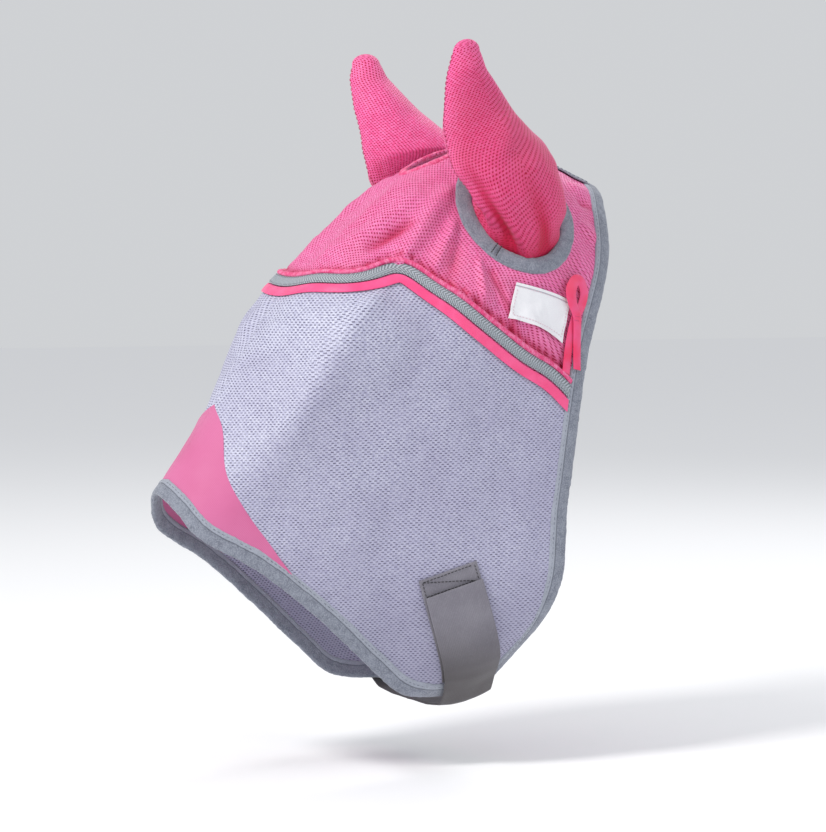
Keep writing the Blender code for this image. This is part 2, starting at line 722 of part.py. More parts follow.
def closure(face_room):
    """The loop patch on the near cheek, the strap's sewn end on the off cheek, and between them the strap
    under the jaw with its tab, which folds at two creases."""
    path = strap_path()
    _, run, near_fold, far_fold = path
    half_crease = CREASE / 2
    tab = strap_piece("closure_tab", path, 0, near_fold - half_crease, 24, TAPE, "strap")
    pad_shift = -(TAPE / 2 + CLEAR + PAD / 2)
    pad = strap_piece("tab_hook_pad", path, *HOOKS, 16, PAD, "hook", pad_shift, HOOK_INSET)
    strap = strap_piece("jaw_strap", path, near_fold + half_crease, far_fold - half_crease, 19, TAPE, "strap")
    anchor = strap_piece("strap_anchor", path, far_fold + half_crease, run[-1], 14, TAPE, "strap")
    cut_with(anchor, face_room)
    table = []
    for share in np.linspace(PATCH_SIDE, 1, STRAP_ROWS):
        patch_top, places = cheek_places(share, 11)
        table.append(joined(line(patch_top, places[0], 3), places[:9]))
    table = np.array(table)
    lift = PANEL / 2 + CLEAR + PAD / 2
    patch = sheet("loop_patch", form(table, np.full(table.shape[:2], lift)), PAD, "strap", parts)
    cut_with(patch, face_room)
    tab_fold = fold_empty("tab_fold", path, near_fold)
    strap_fold = fold_empty("strap_fold", path, far_fold)
    ride_on(strap, strap_fold)
    ride_on(tab_fold, strap_fold)
    ride_on(tab, tab_fold)
    ride_on(pad, tab_fold)


clear_scene()
parts = new_collection("fly_mask")
cutters = new_collection("cutters")
materials = {slot: new_material(slot) for slot in COLOURS}
face_cutter = face_panel()
nose_cutter = nose_panel()
crown_cutter = crown_panel()
bindings(face_cutter, nose_cutter, crown_cutter)
ear_rings(crown_cutter)
brow_trims(face_cutter, crown_cutter)
patches(crown_cutter)
ribbon_loop()
ear_covers()
closure(face_cutter)
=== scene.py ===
import math

import bmesh
import bpy
import numpy as np
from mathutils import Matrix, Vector, noise


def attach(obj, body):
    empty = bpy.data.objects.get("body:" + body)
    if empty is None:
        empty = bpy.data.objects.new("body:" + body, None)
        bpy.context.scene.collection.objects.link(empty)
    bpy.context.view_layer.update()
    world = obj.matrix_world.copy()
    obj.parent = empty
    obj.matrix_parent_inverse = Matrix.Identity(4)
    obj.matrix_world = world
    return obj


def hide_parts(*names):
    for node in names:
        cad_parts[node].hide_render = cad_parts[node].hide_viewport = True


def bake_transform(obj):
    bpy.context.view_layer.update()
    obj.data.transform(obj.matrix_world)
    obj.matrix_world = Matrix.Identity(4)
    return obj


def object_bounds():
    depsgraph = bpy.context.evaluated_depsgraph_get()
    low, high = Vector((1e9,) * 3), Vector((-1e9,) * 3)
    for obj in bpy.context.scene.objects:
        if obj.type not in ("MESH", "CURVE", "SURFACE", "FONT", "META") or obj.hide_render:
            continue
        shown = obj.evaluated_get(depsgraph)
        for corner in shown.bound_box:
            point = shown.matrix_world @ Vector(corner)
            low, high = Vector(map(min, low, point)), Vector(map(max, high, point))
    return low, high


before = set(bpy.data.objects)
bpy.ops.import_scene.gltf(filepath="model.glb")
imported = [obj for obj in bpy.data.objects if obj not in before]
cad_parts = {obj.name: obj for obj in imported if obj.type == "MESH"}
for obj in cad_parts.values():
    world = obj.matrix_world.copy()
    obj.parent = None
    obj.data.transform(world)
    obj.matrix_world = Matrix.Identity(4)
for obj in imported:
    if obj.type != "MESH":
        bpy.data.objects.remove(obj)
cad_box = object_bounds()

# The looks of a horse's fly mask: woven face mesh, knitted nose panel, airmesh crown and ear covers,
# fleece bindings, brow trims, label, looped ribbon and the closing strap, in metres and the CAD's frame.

# Sizes of the sewn pieces, as in the CAD model.
PANEL = 0.0016
BINDING = 0.0052
BINDING_WIDTH = 0.0160
WRAP = 0.0015
CLEAR = 0.0006
TAPE = 0.0014
PAD = 0.0012
WEBBING_WIDTH = 0.0105
BROW_RIBBON_WIDTH = 0.0090
STRAP_HALF = 0.0250
TAB_LIFT = PANEL / 2 + 3 * CLEAR + 2 * PAD + TAPE / 2
ANCHOR_LIFTS = (0.0021, 0.0044, 0.0048)
JAW_DROP = 0.0065
TURN_RADIUS = 0.0085
STRAP_SAG = 0.0020
EAR_HOLE = (0.0480, 0.0415)
EAR_RING_WIDTH = 0.0135
SEAT = (6.40, 0.0)

# Sizes of the looks only.
CLOTH = PANEL * .8  # thickness of the panels' cloth
EAR_CLOTH = 0.0011
LABEL_CLOTH = 0.0008
SATIN = 0.0007
SATIN_HALF = 0.0042
RING_ROLL = 0.0060  # thickness of the fleece rolls round the ear holes
HEM_ROLL = 0.0046  # width and thickness of the rolled hem over the brow
GROOVE_AT = 0.72  # share of a binding's width where its stitches draw it in
EDGE_TUCK = 0.05  # how far, in stations and columns, a panel's edge lies inside its binding
FINE_THREAD = 0.00025
BROW_STITCH = {"pitch": .0036, "length": .0022, "radius": FINE_THREAD}
JOIN_STITCH = {"pitch": .0024, "length": .0018, "radius": .00050}
LABEL_STITCH = {"pitch": .0030, "length": .0019, "radius": FINE_THREAD}
RIBBON_STITCH = {"pitch": .0018, "length": .0012, "radius": FINE_THREAD}
PATCH_STITCH = {"pitch": .0032, "length": .0024}
SIDES = (("left", 1), ("right", -1))

# The head form, as in the CAD model: one row a station, from the nose edge to the rear edge.
STATIONS = (
    ((0, -.393, -.268), (.026, -.386, -.281), (.045, -.371, -.303),
     (.061, -.325, -.331), (.069, -.276, -.371), (.070, -.232, -.412)),
    ((0, -.343, -.199), (.038, -.335, -.204), (.072, -.317, -.226),
     (.086, -.272, -.252), (.090, -.230, -.306), (.087, -.197, -.370)),
    ((0, -.286, -.112), (.052, -.283, -.114), (.099, -.262, -.138),
     (.105, -.213, -.167), (.106, -.178, -.236), (.100, -.159, -.325)),
    ((0, -.229, -.052), (.040, -.222, -.055), (.073, -.202, -.079),
     (.104, -.166, -.128), (.108, -.147, -.205), (.104, -.139, -.306)),
    ((0, -.165, -.001), (.034, -.163, -.006), (.062, -.150, -.035),
     (.098, -.128, -.100), (.107, -.119, -.184), (.106, -.120, -.293)),
    ((0, -.100, .026), (.028, -.098, .018), (.055, -.090, -.015),
     (.095, -.090, -.085), (.104, -.092, -.170), (.107, -.101, -.285)),
    ((0, -.030, .012), (.026, -.030, .004), (.050, -.030, -.015),
     (.086, -.040, -.078), (.100, -.066, -.161), (.107, -.081, -.280)),
    ((0, .0195, -.008), (.024, .0165, -.012), (.045, .0105, -.028),
     (.076, -.004, -.078), (.095, -.036, -.160), (.105, -.060, -.279)),
)
FAN = (0, .2, .42, .54, .65, .76, .88, 1)
JOWL = ((.069, -.200, -.4385), (.103, -.070, -.360))
JOWL_BULGE = .010
JAW_EDGE = ((.062, -.1616, -.4446), (.060, -.1087, -.433))
JAW_SAG = .003

# Seams and edges as (station, column) points on the form.
NOSE_SEAM = (
    (1.05, 0), (.86, .75), (.60, 1.40), (.45, 2.08), (.30, 2.60), (.19, 3.05), (.12, 3.45), (0, 3.85),
)
BROW_SEAM = ((2.20, 0), (2.22, .60), (2.36, 1.30), (2.61, 1.77), (2.93, 2.05))
SIDE_SEAM = ((2.93, 2.05), (3.02, 2.67), (3.44, 3.28), (4.53, 3.85), (6.31, 4.25), (7, 4.36))
BROW_STOP = 6.52
FORELOCK = (4.60, 0.50, 0.55)
LABEL = ((4.60, 3.04), (5.92, 3.40), (5.98, 3.83), (4.18, 3.34))
RIBBON_AT = (6.208, 3.605)
RIBBON_TOP = (5.993, 3.114)
TAB_TOP = (1.72, 5.16)
PATCH_RISE = 0.0155

EAR_SECTIONS = (
    (.000, .000, -.009, .0425, .0345, 0),
    (.000, .000, .003, .0435, .0368, 0),
    (-.001, .001, .012, .0430, .0354, 2),
    (-.010, .005, .024, .0430, .0430, 12),
    (-.027, .014, .034, .0400, .0470, 30),
    (-.0454, .0222, .0440, .0340, .0440, 48),
    (-.0687, .0389, .0640, .0230, .0300, 56),
    (-.0888, .0508, .0860, .0150, .0190, 57),
    (-.1030, .0532, .0995, .0095, .0120, 57),
)
EAR_TIP = (-.1105, .0535, .1070)

# Folds: start and end as (station, column) places, half width and height in metres, and how much shade is
# painted into the cloth along them. A negative height is a crease.
CROWN_FOLDS = (
    ((4.15, 1.62), (2.85, 1.95), .0085, .0081, 0),
    ((4.10, 2.08), (3.25, 2.38), .0045, .0055, 0),
    ((3.98, 2.66), (3.66, 3.06), .0030, .0055, 0),
    ((4.13, 2.80), (4.42, 3.52), .0036, -.0052, .85),
    ((4.12, 3.02), (4.62, 3.66), .0030, .0052, 0),
    ((3.50, 1.66), (2.90, 1.28), .0050, -.0049, .75),
    ((3.80, 1.35), (2.70, .80), .0090, .0052, 0),
    ((3.85, 2.36), (3.25, 2.62), .0055, -.0029, .35),
    ((3.30, 2.75), (3.95, 3.02), .0060, .0034, 0),
    ((4.70, 3.42), (5.70, 3.86), .0055, .0036, 0),
    ((6.10, 3.45), (6.75, 3.85), .0060, .0031, 0),
    ((6.20, 2.50), (6.95, 2.75), .0060, .0039, 0),
    ((6.22, 1.75), (6.92, 1.55), .0070, .0036, 0),
    ((3.90, .78), (2.60, .42), .0100, .0044, .15),
    ((6.30, 2.10), (6.90, 2.20), .0040, -.0031, .4),
)
GATHER = 0.0190  # distance of the gathers from the brow seam
GATHER_PITCH = 0.0085
GATHER_WIDTH = 0.0035
GATHER_DEPTH = 0.0022
FOLD_END = 6.74  # station where the crown's folds end, under the rear binding
# Past this column the cheek is painted in shade.
FRONT_EDGE = 1.84  # column where the pale front of the face cloth goes over into the cheek
CLOSURE_FLAT = 0.030  # how far round the closure's middle line the face cloth lies flat
# Folds of the face cloth, in the same columns, with their painted shade last.
FACE_FOLDS = (
    ((2.66, 2.01), (2.04, 1.93), .0080, .0048, 0),
    ((2.08, 1.93), (.80, 2.12), .0130, .0044, 0),
    ((2.75, 2.75), (1.60, 3.20), .0200, -.0030, .12),
    ((5.40, 4.30), (3.60, 5.70), .0170, .0022, 0),
    ((1.10, 3.30), (2.60, 5.30), .0180, -.0020, 0),
    ((1.70, .15), (2.00, 1.45), .0100, .0030, 0),
    ((1.42, .10), (1.60, 1.20), .0070, -.0020, .25),
    ((2.20, 4.70), (1.20, 6.30), .0120, .0018, 0),
    ((4.20, 6.50), (6.40, 5.60), .0120, .0016, 0),
)
SEED = Vector((3.1, 7.7, 1.3))
RING_JOIN = (46, 51)  # angles of the two stitched lines where an ear ring's ends meet
# Folds round the foot of an ear cover: angle from down the side, slant up the ear, width and height.
EAR_CREASES = (
    (20, .16, .16, .0048), (42, .20, .16, -.0042), (-14, .10, .18, -.0026), (68, .14, .14, .0036),
    (95, .10, .14, -.0030), (-50, 0, .25, .0026), (180, 0, .25, -.0030), (215, 0, .25, .0030),
)

# The camera stands at the photograph's angle; the lights are soft discs aimed at the mask's middle.
MIDDLE = Vector((0, -.1445, -.2127))
AZIMUTH, ELEVATION = math.radians(63), math.radians(3)
CAMERA_DISTANCE = 2.5
LENS, SENSOR = 124.3, 36
FLOOR_DROP = 0.05
FLOOR_REACH = 12
LIGHTS = (
    ("key", (.5, -2.3, 1.9), .7, 54, (1, .98, .95)),
    ("fill", (1.9, 1.6, 1.3), 1.4, 11, (.93, .96, 1)),
    ("back", (-1.2, 1.6, 1.6), 1.0, 14, (1, 1, 1)),
)


# The head form.


def form_cage():
    """The stations' points with the two lower columns, the jowl and the jaw edge, worked out."""
    stations = np.array(STATIONS, float)
    share = np.array(FAN, float)[:, None]
    jowl = (1 - share) * np.array(JOWL[0]) + share * np.array(JOWL[1])
    jowl[:, 0] += JOWL_BULGE * np.sin(math.pi * share[:, 0])
    even = np.linspace(0, 1, len(stations))[:, None]
    jaw = (1 - even) * np.array(JAW_EDGE[0]) + even * np.array(JAW_EDGE[1])
    jaw[:, 2] -= JAW_SAG * np.sin(math.pi * even[:, 0])
    return np.concatenate([stations, jowl[:, None], jaw[:, None]], axis=1)


def with_borders(cage):
    """The cage with one more point past each edge; the column past the midline is its mirror image."""
    mirrored = cage[:, 1:2] * np.array((-1, 1, 1))
    cage = np.concatenate([mirrored, cage, 2 * cage[:, -1:] - cage[:, -2:-1]], axis=1)
    return np.concatenate([2 * cage[:1] - cage[1:2], cage, 2 * cage[-1:] - cage[-2:-1]], axis=0)


CAGE = with_borders(form_cage())
STATION_MAX = len(CAGE) - 3
COLUMN_MAX = CAGE.shape[1] - 3


def spline_weights(at, most):
    """The first of the four points that shape a spline at each place, and their weights."""
    first = np.clip(np.floor(at), 0, most - 1).astype(int)
    t = at - first
    weights = (
        -.5 * t + t * t - .5 * t**3,
        1 - 2.5 * t * t + 1.5 * t**3,
        .5 * t + 2 * t * t - 1.5 * t**3,
        -.5 * t * t + .5 * t**3,
    )
    return first, weights


def raw_form(places):
    """Points of the form's middle surface at (station, column) places; right of the midline the columns
    are negative."""
    places = np.asarray(places, float)
    station, column = places[..., 0], places[..., 1]
    i, across = spline_weights(station, STATION_MAX)
    j, down = spline_weights(np.abs(column), COLUMN_MAX)
    total = np.zeros(places.shape[:-1] + (3,))
    for a in range(4):
        for b in range(4):
            total += (across[a] * down[b])[..., None] * CAGE[i + a, j + b]
    total[..., 0] *= np.where(column < 0, -1.0, 1.0)
    return total


def unit(vectors):
    """The vectors at length one."""
    return vectors / np.linalg.norm(vectors, axis=-1, keepdims=True)


def slopes(places):
    """How the form's point changes with the station and with the column."""
    step = 1e-4
    places = np.asarray(places, float)
    along = (raw_form(places + (step, 0)) - raw_form(places - (step, 0))) / (2 * step)
    down = (raw_form(places + (0, step)) - raw_form(places - (0, step))) / (2 * step)
    return along, down


def outward(places):
    """The way out of the form at places."""
    along, down = slopes(places)
    return unit(np.cross(down, along))


ORIGIN = raw_form(SEAT) - outward(SEAT) * PANEL / 2


def form(places, lift=0.0):
    """Points of the form in the object's frame, raised outwards by lift."""
    return raw_form(places) - ORIGIN + outward(places) * np.asarray(lift)[..., None]


def curve(points, count):
    """A smooth curve through points, with count places on it."""
    points = np.asarray(points, float)
    ends = np.concatenate([2 * points[:1] - points[1:2], points, 2 * points[-1:] - points[-2:-1]])
    at = np.linspace(0, len(points) - 1, count)
    first, weights = spline_weights(at, len(points) - 1)
    return sum(w[:, None] * ends[first + k] for k, w in enumerate(weights))


def line(start, end, count):
    """Evenly spaced places or points from one to another."""
    return np.linspace(start, end, count)


def joined(*runs):
    """Runs of places end to end, with each shared end kept once."""
    return np.concatenate([runs[0]] + [run[1:] for run in runs[1:]])


def mirrored_run(run):
    """A run from its far end on the left side over the midline to the same place on the right side."""
    return np.concatenate([run, run[:-1][::-1] * (1, -1)])


def lengths_along(points):
    """The distance from the first point to each point along a run."""
    return np.concatenate([[0], np.cumsum(np.linalg.norm(np.diff(points, axis=0), axis=1))])


def between(at, marks, table):
    """The rows of a table whose rows stand at marks, worked out at other marks."""
    return np.stack([np.interp(at, marks, column) for column in table.T], axis=-1)


def stopped(table, stop):
    """Rows of places cut off at both ends where they pass a station, with as many places as before."""
    rows = []
    for row in table:
        inside = np.flatnonzero(row[:, 0] < stop)
        first, last = inside[0], inside[-1]
        left = first - (stop - row[first, 0]) / (row[first - 1, 0] - row[first, 0]) if first else 0
        most = len(row) - 1
        right = last + (stop - row[last, 0]) / (row[last + 1, 0] - row[last, 0]) if last < most else most
        rows.append(between(np.linspace(left, right, len(row)), np.arange(len(row)), row))
    return np.array(rows)


def eased(table, passes=4):
    """Rows of places smoothed along themselves, so that a row beside a sharp corner doesn't fold over."""
    for _ in range(passes):
        table[:, 1:-1] = (table[:, :-2] + 2 * table[:, 1:-1] + table[:, 2:]) / 4
    return table


def spread(run, count):
    """The same run with a number of places evenly spaced on the form."""
    length = lengths_along(raw_form(run))
    return between(np.linspace(0, length[-1], count), length, run)


def evenly(run, pitch, closed=False):
    """The same run with places a pitch apart on the form."""
    if closed:
        run = np.concatenate([run, run[:1]])
    even = spread(run, max(int(round(lengths_along(raw_form(run))[-1] / pitch)), 2) + 1)
    return even[:-1] if closed else even


def beside(places, distance, closed=False):
    """Places beside a run of places, at a distance across the form; positive is to the left of the run
    seen from outside."""
    places = np.array(places, float)
    steps = 4
    for _ in range(steps):
        points = raw_form(places)
        if closed:
            tangent = np.roll(points, -1, axis=0) - np.roll(points, 1, axis=0)
        else:
            tangent = np.gradient(points, axis=0)
        along, down = slopes(places)
        way = unit(np.cross(unit(np.cross(down, along)), unit(tangent))) * distance / steps
        aa, dd, ad = (along * along).sum(1), (down * down).sum(1), (along * down).sum(1)
        wa, wd = (way * along).sum(1), (way * down).sum(1)
        size = aa * dd - ad * ad
        places += np.stack([(wa * dd - wd * ad) / size, (wd * aa - wa * ad) / size], axis=1)
    return places


def bumps(points, size, height):
    """Soft noise at points, with lumps of a size and a height."""
    values = [noise.fractal(Vector(p) / size + SEED, 1.0, 2.0, 2) for p in points.reshape(-1, 3)]
    return np.array(values).reshape(points.shape[:-1]) * height


def soft_step(values):
    """From 0 to 1 as values go from 0 to 1, without a kink at either end."""
    return .5 - .5 * np.cos(math.pi * np.clip(values, 0, 1))


def on_left(places):
    """Points of the form at places, with the right side's mirrored to the left."""
    return raw_form(np.stack([places[..., 0], np.abs(places[..., 1])], axis=-1))


def fold_lift(places, folds):
    """How far folds raise the cloth at (station, column) places, on both sides of the mask, and how much
    shade is painted into the cloth there."""
    local = on_left(places)
    left = places[..., 1] >= 0
    lift, shade = np.zeros(left.shape), np.zeros(left.shape)
    for number, (start, end, width, height, dark) in enumerate(folds):
        low, high = raw_form(start), raw_form(end)
        run = high - low
        share = ((local - low) @ run) / (run @ run)
        near = low + np.clip(share, 0, 1)[..., None] * run
        away = np.linalg.norm(local - near, axis=-1)
        taper = np.clip(np.sin(math.pi * np.clip(.15 + .75 * share, 0, 1)), 0, 1)
        other_side = .65 + .35 * math.cos(2.3 * number)
        rise = taper * np.exp(-(away / width) ** 2) * np.where(left, 1, other_side)
        lift += height * rise
        # Painted shade along each fold.
        shade += dark * rise
    return lift, shade


def crown_lift(places):
    """The crown's folds, its soft waves and the gathers just above the brow hem, flat at the midline, and
    the shade painted into its folds and gathers.
    """
    base = raw_form(places)
    lift, shade = fold_lift(places, CROWN_FOLDS)
    lift = lift + bumps(base, .030, .0022) + bumps(base + .5, .011, .0007)
    run = raw_form(beside(evenly(brow_run(), .004), -GATHER))
    away = np.sqrt(((base[..., None, :] - run) ** 2).sum(-1).min(-1))
    ripple = .5 + .5 * np.sin(base[..., 1] * 2 * math.pi / GATHER_PITCH + 3 * np.sin(base[..., 1] * 70))
    gather = np.exp(-(away / GATHER_WIDTH) ** 2)
    lift = lift - gather * GATHER_DEPTH * (.5 + ripple)
    flat = soft_step(np.abs(places[..., 1]) / .25) * soft_step((FOLD_END - places[..., 0]) / .36)
    # Painted shade: the folds' shade, and more in the hollows of the gathers.
    return lift * flat, shade + gather * (.5 + .5 * ripple)


def face_lift(places):
    """The face cloth's folds and soft waves, and its painted shade; it lies flat under the closure and at
    the midline.
    """
    base = raw_form(places)
    lift, shade = fold_lift(places, FACE_FOLDS)
    lift = lift + bumps(base, .060, .0026) + bumps(base + .7, .022, .0007)
    top, foot = raw_form(TAB_TOP), raw_form((STATION_MAX / 2, COLUMN_MAX))
    local, down = on_left(places) - top, foot - top
    share = np.clip((local @ down) / (down @ down), -.3, 1)
    away = np.linalg.norm(local - share[..., None] * down, axis=-1)
    column = np.abs(places[..., 1])
    flat = np.clip((away - CLOSURE_FLAT) / CLOSURE_FLAT, 0, 1) * (.15 + .85 * soft_step(column / .45))
    # Painted shade: the cheek, turned from the light and near the dark skin behind it, is darker towards
    # the jaw; the front stands clear, paler.
    cheek_shade = soft_step((column - FRONT_EDGE) / .30) * (.20 + .20 * soft_step((column - 2.2) / 2.5))
    return lift * flat, shade + cheek_shade


# Meshes.


def placed(name, shape):
    """A new object in the scene from a bmesh."""
    mesh = bpy.data.meshes.new(name)
    shape.to_mesh(mesh)
    shape.free()
    obj = bpy.data.objects.new(name, mesh)
    bpy.context.scene.collection.objects.link(obj)
    return obj


def cloth_map(u, v):
    """Cloth coordinates in metres for a grid of points, from a row and a column of them."""
    return np.stack(np.broadcast_arrays(u, v), axis=-1)


def grid_object(name, points, uv, closed_rows=False, closed_columns=False, caps=False, shade=None):
    """A surface over a grid of points (rows, columns, 3), which may be joined round its rows or its
    columns, with its cloth coordinates and the shade painted on its cloth."""
    rows, columns = points.shape[:2]
    shape = bmesh.new()
    verts = [[shape.verts.new(p) for p in row] for row in points]
    layer = shape.loops.layers.uv.new("cloth")
    for r in range(rows if closed_rows else rows - 1):
        for c in range(columns if closed_columns else columns - 1):
            s, d = (r + 1) % rows, (c + 1) % columns
            face = shape.faces.new((verts[r][c], verts[r][d], verts[s][d], verts[s][c]))
            face.smooth = True
            corners = ((r, c), (r, c + 1), (r + 1, c + 1), (r + 1, c))
            for loop, (i, j) in zip(face.loops, corners):
                loop[layer].uv = uv[min(i, uv.shape[0] - 1), min(j, uv.shape[1] - 1)]
    if caps:
        for row in (verts[0], verts[-1]):
            shape.faces.new(row)
    bmesh.ops.recalc_face_normals(shape, faces=shape.faces)
    obj = placed(name, shape)
    if shade is not None:
        layer = obj.data.attributes.new("shade", "FLOAT", "POINT")
        layer.data.foreach_set("value", np.clip(shade, 0, 1).astype(np.float32).ravel())
    return obj


def finished(obj, material, slot, *nodes, body="mask"):
    """Dresses a piece, ties it to its body and lets it stand for CAD nodes."""
    obj.data.materials.clear()
    obj.data.materials.append(material)
    if nodes:
        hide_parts(*nodes)
    if body:
        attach(obj, body)


def thicken(obj, thickness, offset=0.0, rim=None):
    """Gives a surface a thickness, with a rounded rim where rim gives its width."""
    solid = obj.modifiers.new("thickness", "SOLIDIFY")
    solid.thickness = thickness
    solid.offset = offset
    solid.use_even_offset = False
    if rim:
        bevel = obj.modifiers.new("soft edge", "BEVEL")
        bevel.width = rim
        bevel.segments = 2
        bevel.limit_method = "ANGLE"
        bevel.angle_limit = math.radians(50)
        bevel.harden_normals = False
    graph = bpy.context.evaluated_depsgraph_get()
    mesh = bpy.data.meshes.new_from_object(obj.evaluated_get(graph))
    obj.modifiers.clear()
    obj.data = mesh
    for polygon in mesh.polygons:
        polygon.use_smooth = True
    mesh.set_sharp_from_angle(angle=math.radians(60))


def band(name, run, near, far, thickness, sides=24, closed=False, lift=0.0, groove=0.0, stop=None):
    """A padded band with a rounded section along a run of places, between two distances beside it."""
    pitch, fuzz = .0015, .0004
    run = evenly(run, pitch, closed)
    turn = np.arange(sides) * 2 * math.pi / sides
    middle, half = (near + far) / 2, (far - near) / 2
    across = middle + half * np.sign(np.cos(turn)) * np.abs(np.cos(turn)) ** .75
    rise = thickness / 2 * np.sign(np.sin(turn)) * np.abs(np.sin(turn)) ** .65
    table = np.array([beside(run, distance, closed) for distance in across])
    if stop:
        table = stopped(eased(table), stop)
    share = (across - near) / (far - near)
    heights = lift + rise - groove * np.exp(-((share - GROOVE_AT) / .06) ** 2) * np.sign(rise)
    points = form(table, heights[:, None]).transpose(1, 0, 2)
    core = points.mean(axis=1, keepdims=True)
    shaggy = bumps(points, .0035, fuzz) + bumps(points + .3, .018, fuzz * 1.5)
    points = points + unit(points - core) * shaggy[..., None]
    uv = cloth_map(lengths_along(raw_form(run))[:, None], np.append(across, across[0])[None, :])
    if closed:
        uv = np.concatenate([uv, uv[-1:] + (pitch, 0)])
    return grid_object(name, points, uv, closed_rows=closed, closed_columns=True, caps=not closed)


def tape(name, run, near, far, thickness, lift, crown):
    """A flat tape, slightly crowned, along the brow run, between two distances beside it."""
    run = evenly(run, .003)
    share = np.linspace(0, 1, 7)
    across = near + (far - near) * share
    table = stopped(eased(np.array([beside(run, distance) for distance in across])), BROW_STOP)
    points = form(table, lift + crown * np.sin(math.pi * share)[:, None])
    obj = grid_object(name, points, cloth_map(lengths_along(raw_form(run))[None, :], across[:, None]))
    thicken(obj, thickness, rim=thickness * .3)
    return obj


def stitches(name, points, normals, material, slot, body="mask", pitch=.0042, length=.0029, radius=.00035):
    """A row of thread stitches along points, each a small capsule that dips into the cloth at its ends."""
    run = lengths_along(points)
    shape = bmesh.new()
    sides = 6
    for k in range(int(run[-1] // pitch)):
        start = (k + .5) * pitch - length / 2
        at = start + length * np.array((0, .12, .5, .88, 1))
        centre = between(at, run, points)
        normal = unit(between(at, run, normals))
        centre += normal * (np.array((-.3, .55, .8, .55, -.3)) * radius)[:, None]
        tangent = unit(np.gradient(centre, axis=0))
        cross = unit(np.cross(tangent, normal))
        rings = []
        for c, n, x, width in zip(centre, normal, cross, (.5, 1, 1.1, 1, .5)):
            turn = np.arange(sides) * 2 * math.pi / sides
            ring = c + radius * width * (np.cos(turn)[:, None] * x + .8 * np.sin(turn)[:, None] * n)
            rings.append([shape.verts.new(p) for p in ring])
        for low, high in zip(rings[:-1], rings[1:]):
            for s in range(sides):
                face = shape.faces.new((low[s], low[(s + 1) % sides], high[(s + 1) % sides], high[s]))
                face.smooth = True
        shape.faces.new(rings[0])
        shape.faces.new(rings[-1])
    bmesh.ops.recalc_face_normals(shape, faces=shape.faces)
    finished(placed(name, shape), material, slot, body=body)


def stitch_run(name, run, distance, lift, material, slot, closed=False, **sizes):
    """Stitches at a distance beside a run of places."""
    places = beside(evenly(run, .002, closed), distance, closed)
    stitches(name, form(places, lift), outward(places), material, slot, **sizes)


# Materials.


class Cloth:
    """A fabric's material, built up step by step."""

    def __init__(self, name, roughness, sheen=0.0, specular=.3):
        self.material = bpy.data.materials.new(name)
        self.material.use_nodes = True
        self.tree = self.material.node_tree
        self.shader = self.tree.nodes["Principled BSDF"]
        self.shader.inputs["Roughness"].default_value = roughness
        self.shader.inputs["Specular IOR Level"].default_value = specular
        self.shader.inputs["Sheen Weight"].default_value = sheen
        self.shader.inputs["Sheen Roughness"].default_value = .45
        split = self.node("ShaderNodeSeparateXYZ", (self.node("ShaderNodeUVMap", (), uv_map="cloth"),))
        self.u, self.v = split.node.outputs[0], split.node.outputs[1]
        self.place = self.tree.nodes.new("ShaderNodeTexCoord").outputs["Object"]
        self.height = self.node("ShaderNodeSeparateXYZ", (self.place,), 2)
        self.shade = self.node("ShaderNodeAttribute", (), 2, attribute_name="shade")

    def node(self, kind, inputs, output=0, **settings):
        made = self.tree.nodes.new(kind)
        for key, value in settings.items():
            setattr(made, key, value)
        for socket, value in zip(made.inputs, inputs):
            if isinstance(value, bpy.types.NodeSocket):
                self.tree.links.new(value, socket)
            elif value is not None:
                socket.default_value = value
        return made.outputs[output]

    def math(self, operation, *inputs):
        return self.node("ShaderNodeMath", inputs, operation=operation)

    def times(self, first, second):
        return self.math("MULTIPLY", first, second)

    def plus(self, first, second):
        return self.math("ADD", first, second)

    def wave(self, coordinate, period):
        """A cosine along a coordinate."""
        return self.math("COSINE", self.times(coordinate, 2 * math.pi / period))

    def ramp(self, value, low, high, to_low=0.0, to_high=1.0):
        """A smooth step from one value to another as a value goes from low to high."""
        return self.node(
            "ShaderNodeMapRange", (value, low, high, to_low, to_high), interpolation_type="SMOOTHSTEP"
        )

    def noise(self, scale, detail=2.0, roughness=.5):
        inputs = (self.place, None, scale, detail, roughness)
        return self.node("ShaderNodeTexNoise", inputs, noise_dimensions="3D")

    def patches(self, scale, detail=2.0, low=.3, high=.7, to_low=0.0, to_high=1.0):
        """Soft patches of noise, from one value to another."""
        return self.ramp(self.noise(scale, detail), low, high, to_low, to_high)

    def mix(self, share, first, second):
        """One colour going over into another; a colour is three numbers or a socket."""
        first, second = (c if isinstance(c, bpy.types.NodeSocket) else (*c, 1) for c in (first, second))
        inputs = [share] + [None] * 5 + [first, second]
        return self.node("ShaderNodeMix", inputs, 2, data_type="RGBA")

    def colour(self, socket):
        self.tree.links.new(socket, self.shader.inputs["Base Color"])

    def bump(self, height, distance, strength=1.0):
        made = self.tree.nodes.new("ShaderNodeBump")
        made.inputs["Strength"].default_value = strength
        made.inputs["Distance"].default_value = distance
        self.tree.links.new(height, made.inputs["Height"])
        self.tree.links.new(made.outputs[0], self.shader.inputs["Normal"])


def staggered(cloth, across, down):
    """Peaks of a staggered lattice: rows a distance down apart, peaks two distances across apart."""
    return cloth.times(cloth.wave(cloth.u, 2 * across), cloth.wave(cloth.v, 2 * down))


def dashes(cloth, across, down, length):
    """Rows of short openings, staggered: rows a distance down apart, openings two distances across."""
    first, second = cloth.wave(cloth.u, 2 * across), cloth.wave(cloth.v, 2 * down)
    in_row = cloth.ramp(cloth.math("ABSOLUTE", second), .55, .92)
    return cloth.times(in_row, cloth.ramp(cloth.times(first, second), length - .45, length + .10))


